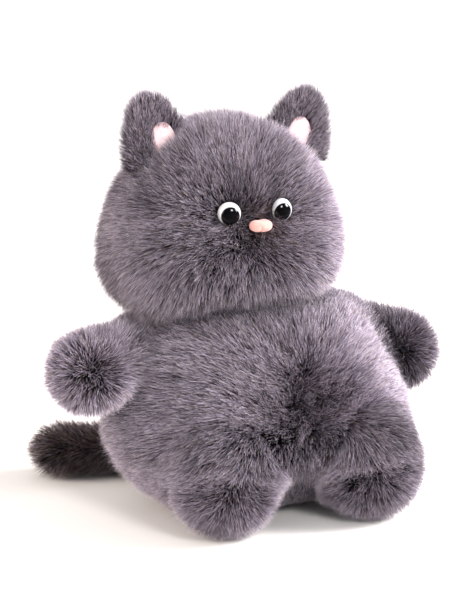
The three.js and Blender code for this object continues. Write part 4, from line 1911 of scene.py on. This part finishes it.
@dataclass(frozen=True)
class Studio:
    """A pale floor, soft lights and the camera."""

    azimuth: float = -23.0
    elevation: float = 12.0
    distance: float = 1400.0
    aim_left: float = 25.9
    aim_down: float = 5.6
    target: tuple[float, float, float] = (0.0, 0.0, 150.0)
    lens: float = 120.0
    sensor: float = 36.0
    floor_reach: float = 40.0
    grains_per_metre: float = 900.0

    def camera(self) -> None:
        """Puts the camera at its angle, looking a little beside and below the cat's middle."""
        a, e = math.radians(self.azimuth), math.radians(self.elevation)
        back = Vector((math.sin(a) * math.cos(e), -math.cos(a) * math.cos(e), math.sin(e)))
        right = Vector((math.cos(a), math.sin(a), 0))
        above = back.cross(right)
        target = Vector(self.target)
        aim = target - right * self.aim_left - above * self.aim_down
        data = bpy.data.cameras.new("camera")
        data.lens = self.lens
        data.sensor_width = self.sensor
        data.clip_start, data.clip_end = 0.05, 100.0
        camera = bpy.data.objects.new("camera", data)
        bpy.context.scene.collection.objects.link(camera)
        camera.location = (target + back * self.distance) * MM
        camera.rotation_mode = "QUATERNION"
        camera.rotation_quaternion = (aim * MM - camera.location).to_track_quat("-Z", "Y")
        bpy.context.scene.camera = camera

    def hung(self, data: bpy.types.Light, place: Vector, way: Vector) -> None:
        """Puts a light into the scene.

        Args:
            data: the light.
            place: where it hangs, in metres.
            way: the direction that it shines along.
        """
        lamp = bpy.data.objects.new(data.name, data)
        bpy.context.scene.collection.objects.link(lamp)
        lamp.location = place
        lamp.rotation_mode = "QUATERNION"
        lamp.rotation_quaternion = way.to_track_quat("-Z", "Y")

    def light(
        self, name: str, place: tuple[float, float, float], size: float, power: float, colour: str,
    ) -> None:
        """Adds a square soft light that faces the cat.

        Args:
            name: its name.
            place: where it hangs, in metres.
            size: its side, in metres.
            power: in watts.
            colour: its colour, as #rrggbb.
        """
        data = bpy.data.lights.new(name, "AREA")
        data.size = size
        data.energy = power
        data.color = linear(colour)[:3]
        self.hung(data, Vector(place), Vector(self.target) * MM - Vector(place))

    def window(self, way: tuple[float, float, float], strength: float, spread: float, colour: str) -> None:
        """Adds even light from a far, wide window.

        Args:
            way: the direction that the light comes from.
            strength: its power in watts for each square metre.
            spread: how wide the window looks from the cat, in degrees.
            colour: its colour, as #rrggbb.
        """
        data = bpy.data.lights.new("window", "SUN")
        data.energy = strength
        data.angle = math.radians(spread)
        data.color = linear(colour)[:3]
        self.hung(data, Vector(), -Vector(way))

    def build(self) -> None:
        """Makes the floor, the lights, the sky and the camera."""
        self.camera()
        rim = self.floor_reach
        mesh = bpy.data.meshes.new("floor")
        corners = [(-rim, -rim, 0), (rim, -rim, 0), (rim, rim, 0), (-rim, rim, 0)]
        mesh.from_pydata(corners, [], [(0, 1, 2, 3)])
        # A sweep of matt white paper with the faintest grain. It looks dark to glossy rays, so that the eyes
        # mirror the room and not the floor.
        material, tree = new_material("white_paper_sweep")
        place = add_node(tree, "ShaderNodeTexCoord")
        grain = add_node(
            tree, "ShaderNodeTexNoise", {"=Scale": self.grains_per_metre},
            {"Vector": place.outputs["Object"]})
        colour = add_node(
            tree, "ShaderNodeValToRGB", {"stops": [(0.3, "#f7f5f3"), (0.7, "#fbfaf8")]},
            {"Fac": grain.outputs[0]})
        paths = add_node(tree, "ShaderNodeLightPath")
        seen = add_node(
            tree, "ShaderNodeMix", {"data_type": "RGBA", "=7": linear("#3a3838")},
            {0: paths.outputs["Is Glossy Ray"], 6: colour.outputs[0]})
        shader = add_node(
            tree, "ShaderNodeBsdfPrincipled", {"=Roughness": 0.9, "=Specular IOR Level": 0.1},
            {"Base Color": seen.outputs[2]})
        add_node(tree, "ShaderNodeOutputMaterial", links={"Surface": shader.outputs[0]})
        mesh.materials.append(material)
        floor = bpy.data.objects.new("floor", mesh)
        bpy.context.scene.collection.objects.link(floor)
        floor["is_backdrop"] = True
        self.light("key", (0.22, -1.9, 1.38), 0.6, 24.0, "#fffcfa")
        self.light("side", (1.85, -0.8, 1.25), 0.9, 60.0, "#fffafa")
        self.light("warm_side", (-1.8, 0.3, 0.8), 0.9, 30.0, "#ffeee2")
        self.window((1.5, -0.45, 1.15), 2.3, 18.0, "#fffafa")
        # The sky is a little brighter where it is seen than where it lights, and nearly dark in reflections.
        world = bpy.data.worlds.new("sky")
        world.use_nodes = True
        tree = world.node_tree
        tree.nodes["Background"].inputs[0].default_value = (1, 0.985, 0.985, 1)
        paths = add_node(tree, "ShaderNodeLightPath")
        seen, dim = (
            add_node(tree, "ShaderNodeMapRange", {"=3": usual, "=4": then}, {0: paths.outputs[ray]})
            for ray, usual, then in (("Is Camera Ray", 0.78, 1.05), ("Is Glossy Ray", 1.0, 0.06)))
        both = add_node(
            tree, "ShaderNodeMath", {"operation": "MULTIPLY"}, {0: seen.outputs[0], 1: dim.outputs[0]})
        tree.links.new(both.outputs[0], tree.nodes["Background"].inputs[1])
        bpy.context.scene.world = world
        bpy.context.scene.view_settings.view_transform = "Standard"


# ---------------------------------------------------------------- building


def main() -> None:
    """Builds the cat's sub-assemblies in order, then the studio."""
    logging.basicConfig(level=logging.INFO, format="%(message)s")
    fur = LongPile().material()
    lining = ShortPlush("pale_pink_velboa", "#e8ced0", "#dbb8bc").material()
    arms = {side: arm_form(side.value) for side in Side}
    legs = {side: leg_form(side.value) for side in Side}
    tail = tail_form()

    fillets = [Fillet(TRUNK), *(Fillet(arm, 14.0, 14.0) for arm in arms.values())]
    fillets += [Fillet(leg, 14.0, 66.0) for leg in legs.values()]
    label = Label()
    body = TrunkFur(
        "body_fur", TRUNK, Pile(lean=0.75), ("body_skin", "body_stuffing"), 1, floor=FLOOR_GAP,
        whorl=BELLY_WHORL, whorl_reach=66.0,
        neighbours=(HEAD, *arms.values(), *legs.values(), tail), fillets=fillets,
        clearings=[Clearing(label.place, np.array([0, 1.0, 0]), 10.0, 1.8, 12.0)]).build(fur)
    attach(body, "trunk")
    label.build(SpunThread("woven_satin_ribbon", "#f5f3ee", "#e4e1da", 0.4).material())

    right, left = Side.RIGHT.value, Side.LEFT.value
    clearings = [
        Clearing(eye_foot(right) + np.array([0.0, 0.0, 1.0]), eye_facing(right), 7.5, 6.4),
        Clearing(eye_foot(left) + np.array([1.0, 0.0, 0.6]), eye_facing(left), 5.4, 5.6),
        Clearing(nose_place(), np.array([0, -1.0, 0]), 7.2, 3.5, 6.0),
    ]
    head = HeadFur(
        "head_fur", HEAD, Pile(), ("head_skin", "head_stuffing"), 2, neighbours=(TRUNK,),
        clearings=clearings).build(fur)
    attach(head, "head")

    limb_pile = Pile(length=13.5, lean=0.5, unruly=0.22)
    for side in Side:
        word = side.word
        ear = EarForm(side.value, 10.0 if side is Side.LEFT else 5.0)
        inward = -4.0 if side is Side.LEFT else 1.0
        EarLining(side, ear, inward).build(lining)
        opening = Clearing(
            ear.place(np.array([-side.value * inward, -4.0, 21.5])), np.array([0, -1.0, 0.05]), 6.0, 8.5, 3.0,
            0.45, 3.5)
        shell = FurryPiece(
            f"ear_{word}_fur", ear, Pile(length=10.5, per_mm2=3.2, lean=0.8, tuft=3.0),
            (f"ear_{word}_shell",), 3, cloth_depth=-5.0,
            whorl=tuple(ear.place(np.array([0.0, 0.0, -20.0]))), clearings=[opening]).build(fur)
        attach(shell, "head")

        arm = arms[side]
        middle = np.array(arm.line[1])
        piece = ArmFur(
            f"arm_{word}_fur", arm, limb_pile, (f"arm_{word}_skin", f"arm_{word}_stuffing"), 4,
            whorl=tuple(middle + np.array([0, -29.0, 0])), whorl_reach=42.0, neighbours=(TRUNK,),
            fillets=fillets).build(fur)
        bends_with_trunk(piece)

        leg = legs[side]
        middle = np.array(leg.line[1])
        piece = LegFur(
            f"leg_{word}_fur", leg, limb_pile, (f"leg_{word}_skin", f"leg_{word}_stuffing"), 5,
            floor=FLOOR_GAP, whorl=tuple(middle + np.array([-4.0, -34.0, -15.0])), whorl_reach=50.0,
            neighbours=(TRUNK,), fillets=fillets).build(fur)
        bends_with_trunk(piece)

    tail_piece = TailFur(
        "tail_fur", tail, Pile(brown=0.7), ("tail_skin", "tail_stuffing"), 6, floor=FLOOR_GAP,
        neighbours=(TRUNK,)).build(fur)
    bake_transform(tail_piece)

    white = GlossyPlastic("white_acrylic_eye", "#d3d3d4", "#c2c2c6").material()
    black = GlossyPlastic("black_acrylic_pupil", "#050506", "#0a0a0c", 0.03).material()
    Eye(Side.RIGHT).build(white, black)
    Eye(Side.LEFT, pupil=6.1, aside=1.5, lift=-0.8).build(white, black)

    Nose().build(ShortPlush("pink_velboa", "#e6aea6", "#d69990").material())
    NeckWad().build(SpunThread("loose_polyester_fibrefill", "#f4f2ec", "#d9d6ce", 1.6).material())
    thread = SpunThread("spun_polyester_thread", "#4f454d", "#2c262b").material()
    nylon = GlossyPlastic("moulded_nylon", "#e6e5e0", "#d5d4ce", 0.4).material()
    for node, finish in (("eye_left_washer", nylon), ("eye_right_washer", nylon),
                         ("back_seam", thread), ("neck_seam", thread)):
        dress(node, finish)

    faces = sum(tri_count(piece.data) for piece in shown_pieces() if piece.type == "MESH")
    log.info("all pieces: %d triangles", faces)
    Studio().build()


def bends_with_trunk(piece: bpy.types.Object) -> None:
    """Applies the placement of a limb's fur to its points, and leaves it at the origin.

    Args:
        piece: the limb's fur.
    """
    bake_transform(piece)


def tri_count(mesh: bpy.types.Mesh) -> int:
    """How many triangles a mesh's faces make.

    Args:
        mesh: the mesh.

    Returns:
        The number of triangles.
    """
    sizes = np.zeros(len(mesh.polygons), np.int32)
    mesh.polygons.foreach_get("loop_total", sizes)
    return int((sizes - 2).sum())


def dress(node: str, material: bpy.types.Material) -> None:
    """Gives a CAD node's object a finish."""
    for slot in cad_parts[node].material_slots:
        slot.material = material


if __name__ == "__main__":
    main()
